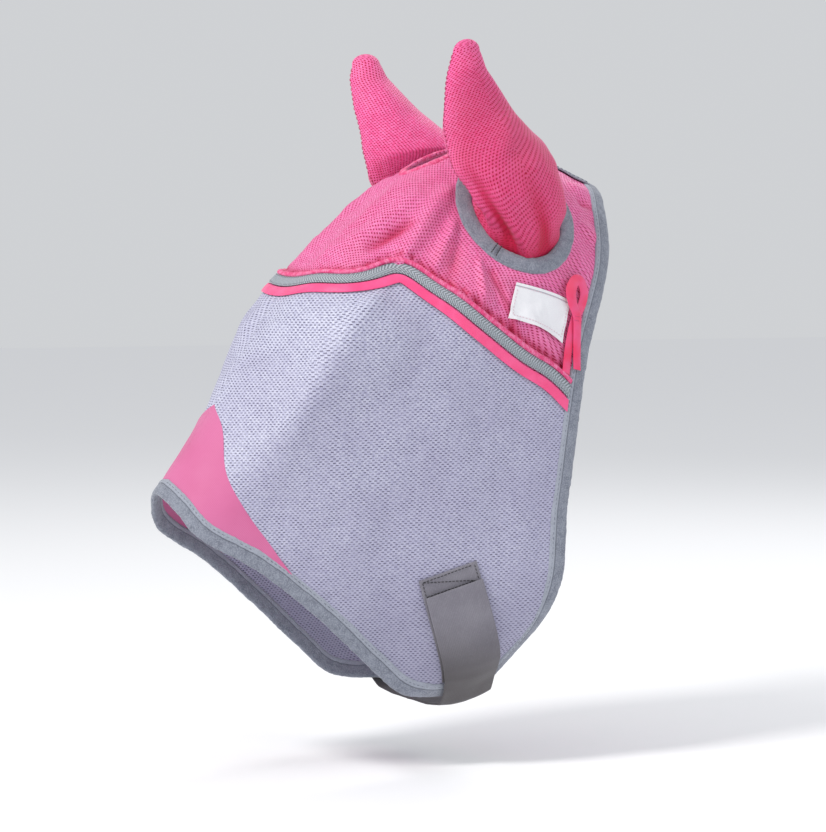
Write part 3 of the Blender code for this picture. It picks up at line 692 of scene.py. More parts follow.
def face_mesh_cloth():
    """White and lavender coated yarns, woven open, with dark openings in rows."""
    cloth = Cloth("face_mesh_weave", .5, specular=.3)
    uneven = cloth.patches(150, 3, .3, .7, .55, 1)
    hole = cloth.times(dashes(cloth, .0023, .0019, .20), uneven)
    yarn = cloth.mix(cloth.patches(650), (.43, .43, .59), (.65, .66, .79))
    yarn = cloth.mix(cloth.patches(20, 3, .35, .7, 0, .30), yarn, (.40, .38, .54))
    # Painted shade: darker and greyer towards the bottom of the face.
    low = cloth.ramp(cloth.height, -.43, -.31, .55, 0)
    yarn = cloth.mix(low, yarn, (.26, .26, .33))
    yarn = cloth.mix(cloth.shade, yarn, (.33, .31, .46))
    cloth.colour(cloth.mix(hole, yarn, (.10, .09, .16)))
    cloth.bump(cloth.math("SUBTRACT", 1.0, hole), .0004, .5)
    return cloth.material


def nose_cloth():
    """Smooth, finely knitted pink."""
    cloth = Cloth("nose_panel_knit", .5, sheen=.1, specular=.25)
    rib = staggered(cloth, .0010, .0010)
    patchy = cloth.patches(18, 3)
    base = cloth.mix(patchy, (.61, .14, .31), (.65, .17, .355))
    cloth.colour(cloth.mix(cloth.ramp(rib, -.2, .9, 0, .35), base, (.56, .07, .20)))
    cloth.bump(rib, .0001, .35)
    return cloth.material


def airmesh_cloth(name, light, deep, opening):
    """Pink spacer knit with small deep openings in slanting rows."""
    cloth = Cloth(name, .55, sheen=.08, specular=.2)
    lattice = staggered(cloth, .0020, .0019)
    uneven = cloth.patches(120, 2, .3, .7, -.08, .08)
    hole = cloth.ramp(cloth.plus(lattice, uneven), .22, .80)
    strand = cloth.mix(cloth.patches(500), deep, light)
    faded = cloth.mix(cloth.patches(14, 2, .45, .7, 0, .35), strand, (.80, .22, .38))
    shaded = cloth.mix(cloth.shade, faded, (.52, .010, .060))
    cloth.colour(cloth.mix(hole, shaded, opening))
    cloth.bump(cloth.math("SUBTRACT", 1.0, hole), .0005, .7)
    return cloth.material


def hem_cloth():
    """The crown's cloth rolled into a hem: plain light pink with creases across it, painted darker in
    their hollows.
    """
    cloth = Cloth("rolled_hem", .6, sheen=.1, specular=.2)
    crease = cloth.noise(260, 3)
    # Painted shade: darker in the hollows of the creases.
    base = cloth.mix(cloth.ramp(crease, .35, .7), (.74, .07, .22), (.88, .24, .44))
    cloth.colour(cloth.mix(cloth.ramp(cloth.wave(cloth.u, .0021), .3, 1, 0, .4), base, (.55, .02, .09)))
    cloth.bump(crease, .0006, .7)
    return cloth.material


def fleece_cloth():
    """Short grey-blue heather fleece, paler along its inner lip."""
    cloth = Cloth("heather_fleece", .95, sheen=.35, specular=.1)
    fleck = cloth.ramp(cloth.noise(900, 3, .7), .38, .62)
    blotch = cloth.patches(160)
    base = cloth.mix(blotch, (.185, .20, .25), (.26, .28, .34))
    base = cloth.mix(cloth.ramp(fleck, .3, .9, 0, .5), base, (.42, .45, .52))
    lip = cloth.ramp(cloth.v, .0096, .0100)
    base = cloth.mix(cloth.times(lip, .5), base, (.48, .51, .59))
    seam = cloth.times(cloth.ramp(cloth.v, .0086, .0092), cloth.ramp(cloth.v, .0096, .0102, 1, 0))
    cloth.colour(cloth.mix(cloth.times(seam, .6), base, (.10, .11, .14)))
    fuzz = cloth.plus(cloth.noise(1400, 4, .7), cloth.times(cloth.noise(380, 2), .8))
    cloth.bump(fuzz, .0009, .8)
    return cloth.material


def webbing_cloth():
    """Grey herringbone webbing: a chevron across its width, repeated along it."""
    cloth = Cloth("herringbone_webbing", .75, sheen=.15, specular=.2)
    side = cloth.math("ABSOLUTE", cloth.math("SUBTRACT", cloth.v, .0010 + WEBBING_WIDTH / 2))
    slanted = cloth.plus(cloth.u, side)
    chevron = cloth.wave(slanted, .0028)
    yarn = cloth.wave(cloth.v, .0012)
    base = cloth.mix(cloth.ramp(chevron, -.5, .7), (.22, .25, .27), (.50, .54, .60))
    cloth.colour(cloth.mix(cloth.ramp(yarn, .2, 1, 0, .3), base, (.14, .15, .17)))
    cloth.bump(cloth.plus(chevron, cloth.times(yarn, .5)), .0002, .8)
    return cloth.material


def satin_cloth(name, colour, shade, roughness=.38):
    """Satin ribbon with fine ribs along its length."""
    cloth = Cloth(name, roughness, sheen=.1, specular=.45)
    rib = cloth.wave(cloth.v, .0006)
    patchy = cloth.patches(60)
    base = cloth.mix(patchy, colour, shade)
    cloth.colour(cloth.mix(cloth.ramp(rib, 0, 1, 0, .15), base, shade))
    cloth.bump(rib, .00006, .5)
    return cloth.material


def strap_cloth():
    """Warm grey brushed tape with a faint weave, painted darker and browner towards the jaw, where it lies
    in shade.
    """
    cloth = Cloth("brushed_strap", .8, sheen=.25, specular=.2)
    warp = cloth.wave(cloth.u, .0014)
    nap = cloth.noise(700, 4, .65)
    base = cloth.mix(cloth.patches(30, 3), (.20, .19, .225), (.24, .23, .265))
    base = cloth.mix(cloth.ramp(nap, .45, .75, 0, .3), base, (.33, .32, .36))
    # Painted shade: darker towards the bottom, under the jaw.
    base = cloth.mix(cloth.ramp(cloth.height, -.44, -.37, .8, 0), base, (.068, .062, .058))
    cloth.colour(cloth.mix(cloth.ramp(warp, .3, 1, 0, .22), base, (.12, .11, .125)))
    cloth.bump(cloth.plus(nap, cloth.times(warp, .3)), .00025, .6)
    return cloth.material


def hook_cloth():
    """Dark hook tape: rows of tiny stiff hooks."""
    cloth = Cloth("hook_tape", .6, specular=.4)
    lattice = staggered(cloth, .0009, .0009)
    hook = cloth.ramp(lattice, .2, .8)
    cloth.colour(cloth.mix(hook, (.05, .05, .055), (.26, .26, .27)))
    cloth.bump(hook, .0005, 1.0)
    return cloth.material


def label_cloth():
    """Plain white woven label with a narrow grey border line."""
    cloth = Cloth("woven_label", .6, sheen=.1, specular=.3)
    weave = cloth.times(cloth.wave(cloth.u, .0008), cloth.wave(cloth.v, .0008))
    base = cloth.mix(cloth.ramp(weave, -.5, .9), (.80, .80, .84), (.94, .94, .96))
    border = cloth.times(cloth.ramp(cloth.v, .0022, .0026), cloth.ramp(cloth.v, .0034, .0038, 1, 0))
    cloth.colour(cloth.mix(cloth.times(border, .8), base, (.35, .36, .42)))
    cloth.bump(weave, .0001, .5)
    return cloth.material


def thread(name, colour):
    """Matt sewing thread, a little uneven."""
    cloth = Cloth(name, .6, sheen=.2, specular=.3)
    shade = tuple(c * .7 for c in colour)
    cloth.colour(cloth.mix(cloth.patches(1500), colour, shade))
    return cloth.material


# Panels.


def sheet_between(first, second, rows):
    """Places on straight lines between two runs, rows of them."""
    share = np.linspace(0, 1, rows)[:, None, None]
    return first[None] * (1 - share) + second[None] * share


def side_measure(points):
    """Cloth coordinates on the face: level rows, and a distance round the head along them."""
    x = np.abs(points[..., 0])
    round_front = .7 * np.minimum(x, .085)
    along = (points[..., 1] + round_front) * np.where(points[..., 0] < 0, -1, 1)
    rows = points[..., 2] - .05 * points[..., 1]
    return np.stack([along, rows], axis=-1)


def girth_table(count=141):
    """Distances over the form from the midline and from the nose edge, for a grid of places."""
    stations = np.linspace(0, STATION_MAX, count)
    columns = np.linspace(0, COLUMN_MAX, count)
    grid = np.stack(np.meshgrid(stations, columns, indexing="ij"), axis=-1)
    points = raw_form(grid)
    across = np.linalg.norm(np.diff(points, axis=1), axis=-1)
    along = np.linalg.norm(np.diff(points, axis=0), axis=-1)
    girth = np.concatenate([np.zeros((count, 1)), np.cumsum(across, axis=1)], axis=1)
    reach = np.concatenate([np.zeros((1, count)), np.cumsum(along, axis=0)], axis=0)
    return girth, reach


GIRTH, REACH = girth_table()


def crown_measure(places):
    """Cloth coordinates on the crown: the distance from the midline and from the nose edge."""
    count = len(GIRTH) - 1
    s = np.clip(places[..., 0] / STATION_MAX * count, 0, count - 1e-6)
    c = np.clip(np.abs(places[..., 1]) / COLUMN_MAX * count, 0, count - 1e-6)
    i, j = s.astype(int), c.astype(int)
    p, q = s - i, c - j
    values = []
    for table in (GIRTH, REACH):
        values.append(
            table[i, j] * (1 - p) * (1 - q) + table[i + 1, j] * p * (1 - q)
            + table[i, j + 1] * (1 - p) * q + table[i + 1, j + 1] * p * q
        )
    # The cut runs at a slant, so the rows of openings slope down to the rear.
    return np.stack([values[0] + .25 * values[1], values[1] - .25 * values[0]], axis=-1)


def face_cloth(material):
    """The woven mesh over eyes and cheeks, in a left and a right half that meet on the midline."""
    count = 150
    tuck = EDGE_TUCK
    nose_end = (tuck, NOSE_SEAM[-1][1])
    lower = joined(
        curve(NOSE_SEAM, 60)[:-1], np.array([nose_end]), line(nose_end, (tuck, COLUMN_MAX - .35), 50),
        line((tuck, COLUMN_MAX - .35), (1.2, COLUMN_MAX - tuck), 6),
        line((1.2, COLUMN_MAX - tuck), (STATION_MAX - 1.2, COLUMN_MAX - tuck), 20),
        line((STATION_MAX - 1.2, COLUMN_MAX - tuck), (STATION_MAX - tuck, COLUMN_MAX - .15), 6),
    )
    rear_top = (STATION_MAX - tuck, SIDE_SEAM[-1][1])
    upper = joined(
        curve(BROW_SEAM, 30), curve(SIDE_SEAM, 60)[:-1], np.array([rear_top]),
        line(rear_top, (STATION_MAX - tuck, COLUMN_MAX - .15), 40),
    )
    half = sheet_between(spread(lower, count), spread(upper, count), 110)
    half[:, 0, 1] = 0
    for side, sign in SIDES:
        places = half * (1, sign)
        base = raw_form(places)
        lift, shade = face_lift(places)
        rows = np.linspace(0, 1, len(places))[:, None]
        points = form(places, lift * soft_step(rows / .06) * soft_step((1 - rows - .04) / .12))
        points[:, 0, 0] = 0
        obj = grid_object("face_cloth_" + side, points, side_measure(base - ORIGIN), shade=shade)
        thicken(obj, CLOTH)
        finished(obj, material, "face_mesh", *(("face_mesh",) if sign > 0 else ()))


def nose_cloth_panel(material):
    """The pink panel over the bridge of the nose."""
    upper = curve(NOSE_SEAM, 90)[:-8]
    lower = np.stack([np.full(len(upper), EDGE_TUCK), upper[:, 1]], axis=1)
    half = sheet_between(lower, upper, 40)
    places = np.concatenate([half[:, 1:][:, ::-1] * (1, -1), half], axis=1)
    base = raw_form(places)
    lift = .0004 + bumps(base, .045, .0012)
    obj = grid_object("nose_panel_cloth", form(places, lift), side_measure(base - ORIGIN))
    thicken(obj, CLOTH)
    finished(obj, material, "nose_panel", "nose_panel")


def ring_frame():
    """The ear ring's middle and its directions down the side, forward and outward, on the left side."""
    inner, outer = form((5.05, 1.05)), form((5.20, 3.04))
    fore, aft = form((4.15, 2.20)), form((6.00, 2.20))
    middle = (inner + outer) / 2
    side = unit(outer - inner)
    forward = fore - aft
    forward = unit(forward - side * (forward @ side))
    return middle, side, forward, np.cross(side, -forward)


def places_on_ring(angles, widen=0.0):
    """Places on the form at angles round the ear hole, from down the side towards forward."""
    middle, side, forward, _ = ring_frame()
    target = np.stack([np.cos(angles), np.sin(angles)], axis=1) * (np.array(EAR_HOLE) + widen)
    flat = np.stack([side, forward], axis=1)
    places = np.tile((5.05, 2.0), (len(angles), 1))
    for _ in range(14):
        miss = target - (form(places) - middle) @ flat
        along, down = slopes(places)
        a, d = along @ flat, down @ flat
        size = a[:, 0] * d[:, 1] - a[:, 1] * d[:, 0]
        move = np.stack([
            (miss[:, 0] * d[:, 1] - miss[:, 1] * d[:, 0]) / size,
            (miss[:, 1] * a[:, 0] - miss[:, 0] * a[:, 1]) / size,
        ], axis=1)
        places += np.clip(move, -.4, .4)
    return places


def forelock_edge(count):
    """The left half of the forelock hole's edge, from its rear end to its front end."""
    middle, half_length, half_width = FORELOCK
    angles = np.linspace(0, math.pi, count)
    return np.stack([middle + half_length * np.cos(angles), half_width * np.sin(angles)], axis=1)


def crown_half():
    """Places of the left half of the crown: rings of them from the ear hole out to its edges."""
    rear_end = (STATION_MAX - EDGE_TUCK, 0)
    rear_top = (STATION_MAX - EDGE_TUCK, SIDE_SEAM[-1][1])
    hole = forelock_edge(41)
    runs = (
        (curve(BROW_SEAM, 50), 90, 72),
        (joined(curve(SIDE_SEAM, 90)[:-1], np.array([rear_top])), 72, -10),
        (line(rear_top, rear_end, 80), -10, -114),
        (line(rear_end, hole[0], 30), -114, -164),
        (hole, -164, -243),
        (line(hole[-1], (BROW_SEAM[0][0], 0), 60), -243, -270),
    )
    outer = np.concatenate([run[:-1] for run, _, _ in runs])
    angles = np.concatenate([np.radians(np.linspace(a, b, len(run)))[:-1] for run, a, b in runs])
    inner = places_on_ring(angles, .002)
    middle = places_on_ring(angles, EAR_RING_WIDTH)
    first = inner + (middle - inner) * np.linspace(0, 1, 5)[:-1, None, None]
    second = middle + (outer - middle) * np.linspace(0, 1, 70)[:, None, None]
    return np.concatenate([first, second])


def crown_cloth(material):
    """The airmesh crown, in a left and a right half that meet on the midline."""
    half = crown_half()
    for side, sign in SIDES:
        places = half * (1, sign)
        lift, shade = crown_lift(places)
        rows = np.arange(len(places))[:, None]
        at_edges = np.clip((rows - 3) / 6, 0, 1) * np.clip((len(places) - 1 - rows) / 14, 0, 1)
        points = form(places, lift * at_edges)
        points[np.abs(places[..., 1]) < 1e-6, 0] = 0
        uv = crown_measure(places)
        uv = np.concatenate([uv, uv[:, :1]], axis=1)
        obj = grid_object("crown_cloth_" + side, points, uv, closed_columns=True, shade=shade)
        thicken(obj, CLOTH)
        finished(obj, material, "airmesh", *(("crown_mesh",) if sign > 0 else ()))


# Bindings, rings and trims.


def bindings(fleece, stitch):
    """Fleece folded over the front and the rear edges, meeting under the jaw where the strap crosses."""
    jaw_mid, last = (STATION_MAX / 2, COLUMN_MAX), STATION_MAX
    front_turn = ((1.1, COLUMN_MAX), (.28, COLUMN_MAX - .06), (0, COLUMN_MAX - .28))
    rear_turn = ((last - 1.1, COLUMN_MAX), (last - .28, COLUMN_MAX - .03), (last, COLUMN_MAX - .12))
    front = joined(
        line(jaw_mid, front_turn[0], 12), curve(front_turn, 9), line(front_turn[-1], (0, 0), 80)
    )
    rear = joined(
        line(jaw_mid, rear_turn[0], 12), curve(rear_turn, 9), line(rear_turn[-1], (last, 0), 90)
    )
    inner = BINDING_WIDTH - WRAP
    nodes = (
        ("nose_binding", "jaw_binding_left", "jaw_binding_right"),
        ("throat_binding_left", "throat_binding_right", "poll_binding"),
    )
    for name, run, sign, stands_for in (("front", front, -1, nodes[0]), ("rear", rear, 1, nodes[1])):
        run = mirrored_run(run)
        near, far = (-WRAP, inner) if sign > 0 else (WRAP, -inner)
        obj = band(name + "_binding_fleece", run, near, far, BINDING, groove=.0006)
        if sign < 0:
            flip_across(obj)
        finished(obj, fleece, "fleece", *stands_for)
        stitch_run(
            name + "_binding_stitches", run, sign * (inner - .0026), BINDING / 2 - .0008, stitch, "fleece"
        )


def flip_across(obj):
    """Makes the cloth's second coordinate grow away from the edge on a band laid out to the right."""
    for loop in obj.data.uv_layers["cloth"].data:
        loop.uv.y = -loop.uv.y


def ear_rings(fleece, stitch, join_stitch):
    """Fleece rings round the ear holes."""
    angles = np.radians(np.arange(0, 360, 2.0))
    for side, sign in SIDES:
        run = places_on_ring(angles) * (1, sign)
        across = -1 if sign > 0 else 1
        near, far = across * WRAP, -across * EAR_RING_WIDTH
        obj = band("ear_ring_fleece_" + side, run, near, far, RING_ROLL, closed=True, groove=.0006)
        for loop in obj.data.uv_layers["cloth"].data:
            loop.uv.y = abs(loop.uv.y) * .5  # the ring is one roll, without an inner lip
        finished(obj, fleece, "fleece", "ear_ring_" + side)
        for number, angle in enumerate(RING_JOIN):
            across_ring = np.concatenate([
                places_on_ring(np.radians([angle]), widen) for widen in np.linspace(0, EAR_RING_WIDTH, 8)
            ]) * (1, sign)
            stitches(
                f"ring_join_{side}_{number + 1}", form(across_ring, .0041), outward(across_ring),
                join_stitch, "fleece", **JOIN_STITCH,
            )
        stitch_run(
            "ear_ring_stitches_" + side, run, far * .83, RING_ROLL / 2 - .0009, stitch, "fleece",
            closed=True,
        )


def brow_run():
    """The brow seam from its left end to its right end, with its peaks a little rounded."""
    run = mirrored_run(joined(curve(BROW_SEAM, 50), curve(SIDE_SEAM, 100))[::-1])
    return eased(evenly(run, .002)[None], 14)[0]


def brow_trims(webbing, ribbon, pink, stitch):
    """Webbing over the brow seam, the bright ribbon under it, and the rolled pink hem above them."""
    run = brow_run()
    lift = PANEL / 2 + CLEAR + TAPE / 2
    hem = .0008 + WEBBING_WIDTH
    obj = tape("brow_webbing_tape", run, -.0012, -hem, TAPE, lift, .0004)
    flip_across(obj)
    finished(obj, webbing, "webbing", "brow_webbing")
    obj = tape("brow_ribbon_tape", run, .0002, .0002 + BROW_RIBBON_WIDTH, TAPE * .7, lift, .0003)
    finished(obj, ribbon, "ribbon", "brow_ribbon")
    roll = (-hem - .0002, -hem - HEM_ROLL)
    obj = band("brow_hem", run, *roll, HEM_ROLL, sides=16, lift=.0022, stop=BROW_STOP)
    flip_across(obj)
    finished(obj, pink, "airmesh")
    inner = run[run[:, 0] < BROW_STOP - .1]
    for name, distance in (("upper", -hem + .0012), ("lower", -.0024)):
        stitch_run(
            "brow_stitches_" + name, inner, distance, lift + TAPE / 2 + .0002, stitch, "webbing",
            **BROW_STITCH,
        )


def poll_and_forelock(fleece, pink, stitch):
    """The fleece tape along the top of the poll and the hem round the forelock hole."""
    rear = FORELOCK[0] + FORELOCK[1]
    station = np.linspace(rear + .22, 6.78, 60)[:, None]
    share = (station - station[0]) / (station[-1] - station[0])
    half = (.30 + .75 * share) * np.linspace(-1, 1, 41)[None, :]
    places = np.stack([np.broadcast_to(station, half.shape), half], axis=-1)
    under, _ = crown_lift(places)
    lift = PANEL / 2 + CLEAR + TAPE / 2 + .0004 + under
    uv = np.stack([places[..., 1] * .026, places[..., 0] * .05 - 1], axis=-1)
    obj = grid_object("poll_fleece", form(places, lift), uv)
    thicken(obj, TAPE, rim=.0005)
    finished(obj, fleece, "fleece", "poll_patch")
    for name, column in (("left", -3), ("right", 2)):
        row = places[:, column]
        points = form(row, PANEL / 2 + CLEAR + TAPE + .0006 + under[:, column])
        stitches("poll_stitches_" + name, points, outward(row), stitch, "fleece")
    half_edge = forelock_edge(60)
    edge = np.concatenate([half_edge, half_edge[1:-1][::-1] * (1, -1)])
    obj = band("forelock_hem", edge, 0, .0070, .0040, closed=True, sides=14)
    finished(obj, pink, "airmesh", "forelock_binding")


def label_patch(label, stitch):
    """The woven label, blank, with a stitched border; it is sewn down and a little puckered."""
    rows, columns = 30, 70
    across = np.linspace(0, 1, columns)[None, :, None]
    down = np.linspace(0, 1, rows)[:, None, None]
    corners = np.array(LABEL, float)
    top = corners[0] * (1 - across) + corners[1] * across
    bottom = corners[3] * (1 - across) + corners[2] * across
    places = top * (1 - down) + bottom * down
    base = raw_form(places)
    under, _ = crown_lift(places)
    lift = PANEL / 2 + CLEAR + PAD / 2 + .0010 + np.maximum(under, -.0006) + bumps(base, .016, .0006)
    width = np.linalg.norm(base[rows // 2, -1] - base[rows // 2, 0])
    height = np.linalg.norm(base[-1, columns // 2] - base[0, columns // 2])
    points = form(places, lift)
    obj = grid_object("label_cloth", points, cloth_map(width * across[..., 0], height * down[..., 0]))
    thicken(obj, LABEL_CLOTH, rim=.0002)
    finished(obj, label, "label", "label_patch")
    inset = 3
    ring = np.concatenate([
        points[inset, inset:-inset], points[inset:-inset, -inset - 1],
        points[-inset - 1, inset:-inset][::-1], points[inset:-inset, inset][::-1],
    ])
    normals = np.tile(outward(places[rows // 2, columns // 2]), (len(ring), 1))
    stitches("label_stitches", ring + normals * .0005, normals, stitch, "label", **LABEL_STITCH)


def ribbon_loop(satin, stitch):
    """A looped satin ribbon: up one side, round the top and down across itself."""
    path = np.array((
        (-.0065, -.0430), (-.0040, -.0215), (0, 0), (.0058, .0130), (.0066, .0260), (0, .0370),
        (-.0066, .0260), (-.0058, .0130), (0, 0), (.0040, -.0215), (.0060, -.0380),
    ))
    height = np.array((0, 0, 0, 0, .0006, .0014, .0022, .0026, .0028, .0014, .0006))
    count = 161
    smooth = curve(path, count)
    lift = .0036 + np.interp(np.linspace(0, 1, count), np.linspace(0, 1, len(height)), height)
    along, down = slopes(np.array(RIBBON_AT))
    middle = form(RIBBON_AT)
    up = unit(form(RIBBON_TOP) - middle)
    right = unit(np.cross(up, outward(RIBBON_AT)))
    basis = np.stack([along, down], axis=1)
    tangent = unit(np.gradient(smooth, axis=0))
    side = np.stack([tangent[:, 1], -tangent[:, 0]], axis=1)
    shares = np.linspace(-1, 1, 9)
    rows = []
    for share in shares:
        flat = smooth + side * share * SATIN_HALF
        moves = flat[:, :1] * right + flat[:, 1:] * up
        places = np.array(RIBBON_AT) + moves @ np.linalg.pinv(basis).T
        rows.append(form(places, lift + .0005 * (1 - share * share)))
    length = lengths_along(np.concatenate([smooth, np.zeros((count, 1))], axis=1))
    obj = grid_object(
        "ribbon_loop_satin", np.array(rows), cloth_map(length[None, :], shares[:, None] * SATIN_HALF)
    )
    thicken(obj, SATIN, rim=.0002)
    finished(obj, satin, "ribbon", "ribbon_loop")
    normal = outward(RIBBON_AT)
    for number, rise in enumerate((-.0020, .0016)):
        bar = middle + up * rise + normal * .0073
        stitches(
            f"ribbon_stitches_{number + 1}", line(bar - right * .0036, bar + right * .0036, 12),
            np.tile(normal, (12, 1)), stitch, "ribbon", **RIBBON_STITCH,
        )


# Ear covers.


def ear_points(rings, around):
    """Rings of points up the left ear cover, with the centre and the size of each ring."""
    middle, side, forward, out = ring_frame()
    table = np.array(EAR_SECTIONS, float)
    table[0, 2:5] += (.0030, .0080, .0075)  # the foot spreads out under the fleece ring
    table[1, 3:5] += (.0030, .0030)
    at = np.linspace(0, len(table) - 1, rings)
    turn = np.arange(around) * 2 * math.pi / around
    frame_axes = np.stack([side, forward, out])
    points, centres = [], []
    for a, f, n, half_side, half_fore, roll in curve(table, rings):
        roll = math.radians(roll)
        across = math.cos(roll) * side + math.sin(roll) * out
        centre = middle + np.array((a, f, n)) @ frame_axes
        # The section is fuller at the back and comes to a soft edge in front, where the seam runs.
        peak = 1 + .05 * np.exp(-((turn - math.pi / 2) / .35) ** 2)
        points.append(
            centre
            + half_side * (np.cos(turn) * peak)[:, None] * across
            + half_fore * (np.sin(turn) * peak)[:, None] * forward
        )
        centres.append(centre)
    return np.array(points), np.array(centres), at, middle + np.array(EAR_TIP) @ frame_axes


def ear_covers(material, stitch):
    """Airmesh pockets over the ears, from the foot under the fleece ring up to the tip."""
    middle, _, _, out = ring_frame()
    points, centres, at, tip = ear_points(150, 112)
    turn = np.arange(points.shape[1]) * 2 * math.pi / points.shape[1]
    away = unit(points - centres[:, None])
    foot = np.exp(-((at - 2.4) / 1.5) ** 2)[:, None]
    creases = np.zeros(points.shape[:2])
    for where, slant, width, height in EAR_CREASES:
        gap = np.angle(np.exp(1j * (turn[None, :] - math.radians(where) - slant * (at[:, None] - 2))))
        creases += height * np.exp(-(gap / width) ** 2)
    closing = np.linspace(0, 1, 7)[1:] * math.pi / 2
    for name, sign in SIDES:
        flip = np.array((sign, 1, 1))
        shift = bumps(points * flip, .028, .0022) * np.clip(at / 2.5, .2, 1)[:, None] + creases * foot
        # The seam stands up in front as a fine ridge.
        seam = np.exp(-(np.angle(np.exp(1j * (turn - math.pi / 2))) / .06) ** 2)[None, :]
        shape = points + away * (shift + .0012 * seam)[..., None]
        cap = [shape[-1] + (tip - shape[-1]) * inwards + (tip - centres[-1]) * (upwards - inwards)
               for inwards, upwards in zip(1 - np.cos(closing), np.sin(closing))]
        cap[-1] = np.tile(tip, (len(turn), 1)) + away[-1] * .0004
        shape = np.concatenate([shape, np.array(cap)]) * flip
        around = np.concatenate([shape, shape[:, :1]], axis=1)
        girth = np.stack([lengths_along(row) for row in around])
        half = girth.shape[1] * 3 // 4
        girth = girth - girth[:, half:half + 1]
        height = lengths_along(shape.mean(axis=1))[:, None] + np.zeros_like(girth)
        uv = np.stack([girth + .35 * height, height - .35 * girth], axis=-1)
        # Painted shade: each cover's outer side, a band low on the ear near its foot, and the creases
        # round the foot are darker.
        outer = np.clip((around[:, :-1] - shape.mean(axis=1, keepdims=True))[..., 0] * sign / .018, 0, 1)
        level = np.clip(np.arange(len(shape)) / len(at) * (len(EAR_SECTIONS) - 1), 0, 8)[:, None]
        dark = .50 * outer + .40 * np.exp(-((level - 1.2) / 1.1) ** 2)
        dark[:len(at)] += np.clip(-creases / .0026, 0, 1) * foot * .5
        obj = grid_object("ear_cloth_" + name, shape, uv, closed_columns=True, shade=dark)
        thicken(obj, EAR_CLOTH, offset=-1.0)
        finished(obj, material, "airmesh", "ear_cover_" + name, body=None)
        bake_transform(obj)
        front = int(round(len(turn) / 4))
        row = shape[8:len(points):2, front]
        normal = unit(row - (centres[8::2][:len(row)] * flip))
        stitches(
            "ear_stitches_" + name, row + normal * .0002, normal, stitch, "airmesh", body=name + "_ear",
            pitch=.0045,
        )


# The closure.


def places_below(targets, guess):
    """Places on the cheek whose points have the given (y, z), each found from the one before."""
    places = []
    place = np.array(guess, float)
    for target in targets:
        for _ in range(8):
            along, down = slopes(place)
            basis = np.stack([along[1:], down[1:]], axis=1)
            place = place + np.clip(np.linalg.solve(basis, target - form(place)[1:]), -.5, .5)
        places.append(place)
    return np.array(places)


def cheek_places(share, count):
    """Places down the near cheek at a share of the strap's half width: one on the loop patch's top edge,
    then a run from the tab's free end to the jaw edge."""
    jaw = line((0, COLUMN_MAX), (STATION_MAX, COLUMN_MAX), 60)
    jaw_points = form(jaw)[:, 1:]
    top = form(TAB_TOP)[1:]
    foot = form((STATION_MAX / 2, COLUMN_MAX))[1:]
    down = unit(foot - top)
    across = np.array((-down[1], down[0])) * share * STRAP_HALF
    reach = (jaw_points - top) @ unit(np.array((-down[1], down[0])))
    end = np.array((np.interp(share * STRAP_HALF, reach, jaw[:, 0]), COLUMN_MAX))
    start = top + across
    run = places_below(line(start, form(end)[1:], count)[:-1], TAB_TOP)
    patch_top = places_below([start - down * PATCH_RISE], TAB_TOP)[0]
    return patch_top, np.concatenate([run, [end]])


def cheek_run(lifts, rows):
    """Rows of points down the near cheek and round the turn under the jaw."""
    table = []
    for share in np.linspace(-1, 1, rows):
        _, places = cheek_places(share, len(lifts))
        on_cheek = form(places, np.array(lifts))
        down = unit(on_cheek[-1] - on_cheek[-2])
        fore_aft = unit(np.cross(outward(places[-1]), down))
        way_out = unit(np.cross(down, fore_aft))
        corner = on_cheek[-1] + down * JAW_DROP
        inward = unit(np.array((-1.0, 0, 0)) + fore_aft * fore_aft[0])
        opening = math.acos(np.clip(down @ inward, -1, 1))
        arc = [
            corner + TURN_RADIUS * (way_out * (math.cos(t) - 1) + down * math.sin(t))
            for t in np.linspace(0, opening, 6)[1:]
        ]
        table.append(np.concatenate([on_cheek, [corner], arc]))
    return np.array(table)


def strap_path():
    """The strap as rows of points from the tab's free end round under the jaw and up the off cheek; the
    lengths along its middle row; and the lengths where its two folds come."""
    steps, rows = 11, 5
    near = cheek_run([TAB_LIFT] * steps, rows)
    far_lifts = np.interp(np.arange(steps), (0, steps - 4, steps - 1), ANCHOR_LIFTS)
    far = cheek_run(far_lifts, rows)[:, ::-1] * (-1, 1, 1)
    bridge = near[:, -1:] + (far[:, :1] - near[:, -1:]) * np.linspace(0, 1, 6)[None, 1:-1, None]
    bridge[..., 2] -= STRAP_SAG
    points = np.concatenate([near, bridge, far], axis=1)
    run = lengths_along(points[rows // 2])
    return points, run, run[steps + 1], run[-steps - 2]


def smooth_rows(path, start, end, count, rows):
    """Points on the strap between two lengths, resampled smoothly both ways, and the way out."""
    points, run, _, _ = path
    at = np.linspace(start, end, count)
    rough = eased(np.array([between(at, run, row) for row in points]), 2)
    fine = np.stack([curve(rough[:, k], rows) for k in range(count)], axis=1)
    out = unit(np.cross(np.gradient(fine, axis=1), np.gradient(fine, axis=0)))
    return fine, out


def strap_cloth_piece(name, path, start, end, thickness, shift=0.0, narrow=0.0, count=120):
    """A length of the strap as tape, with its cloth coordinates."""
    rows = 25
    fine, out = smooth_rows(path, start, end, count, rows)
    middle = fine[rows // 2]
    fine = middle + (fine - middle) * (1 - narrow / STRAP_HALF) + out * shift
    fine = fine + out * bumps(fine, .02, .0004)[..., None]
    across = np.linspace(-STRAP_HALF, STRAP_HALF, rows)[:, None]
    obj = grid_object(name, fine, cloth_map(across, np.linspace(start, end, count)[None, :]))
    thicken(obj, thickness, rim=thickness * .3)
    return obj, fine, out


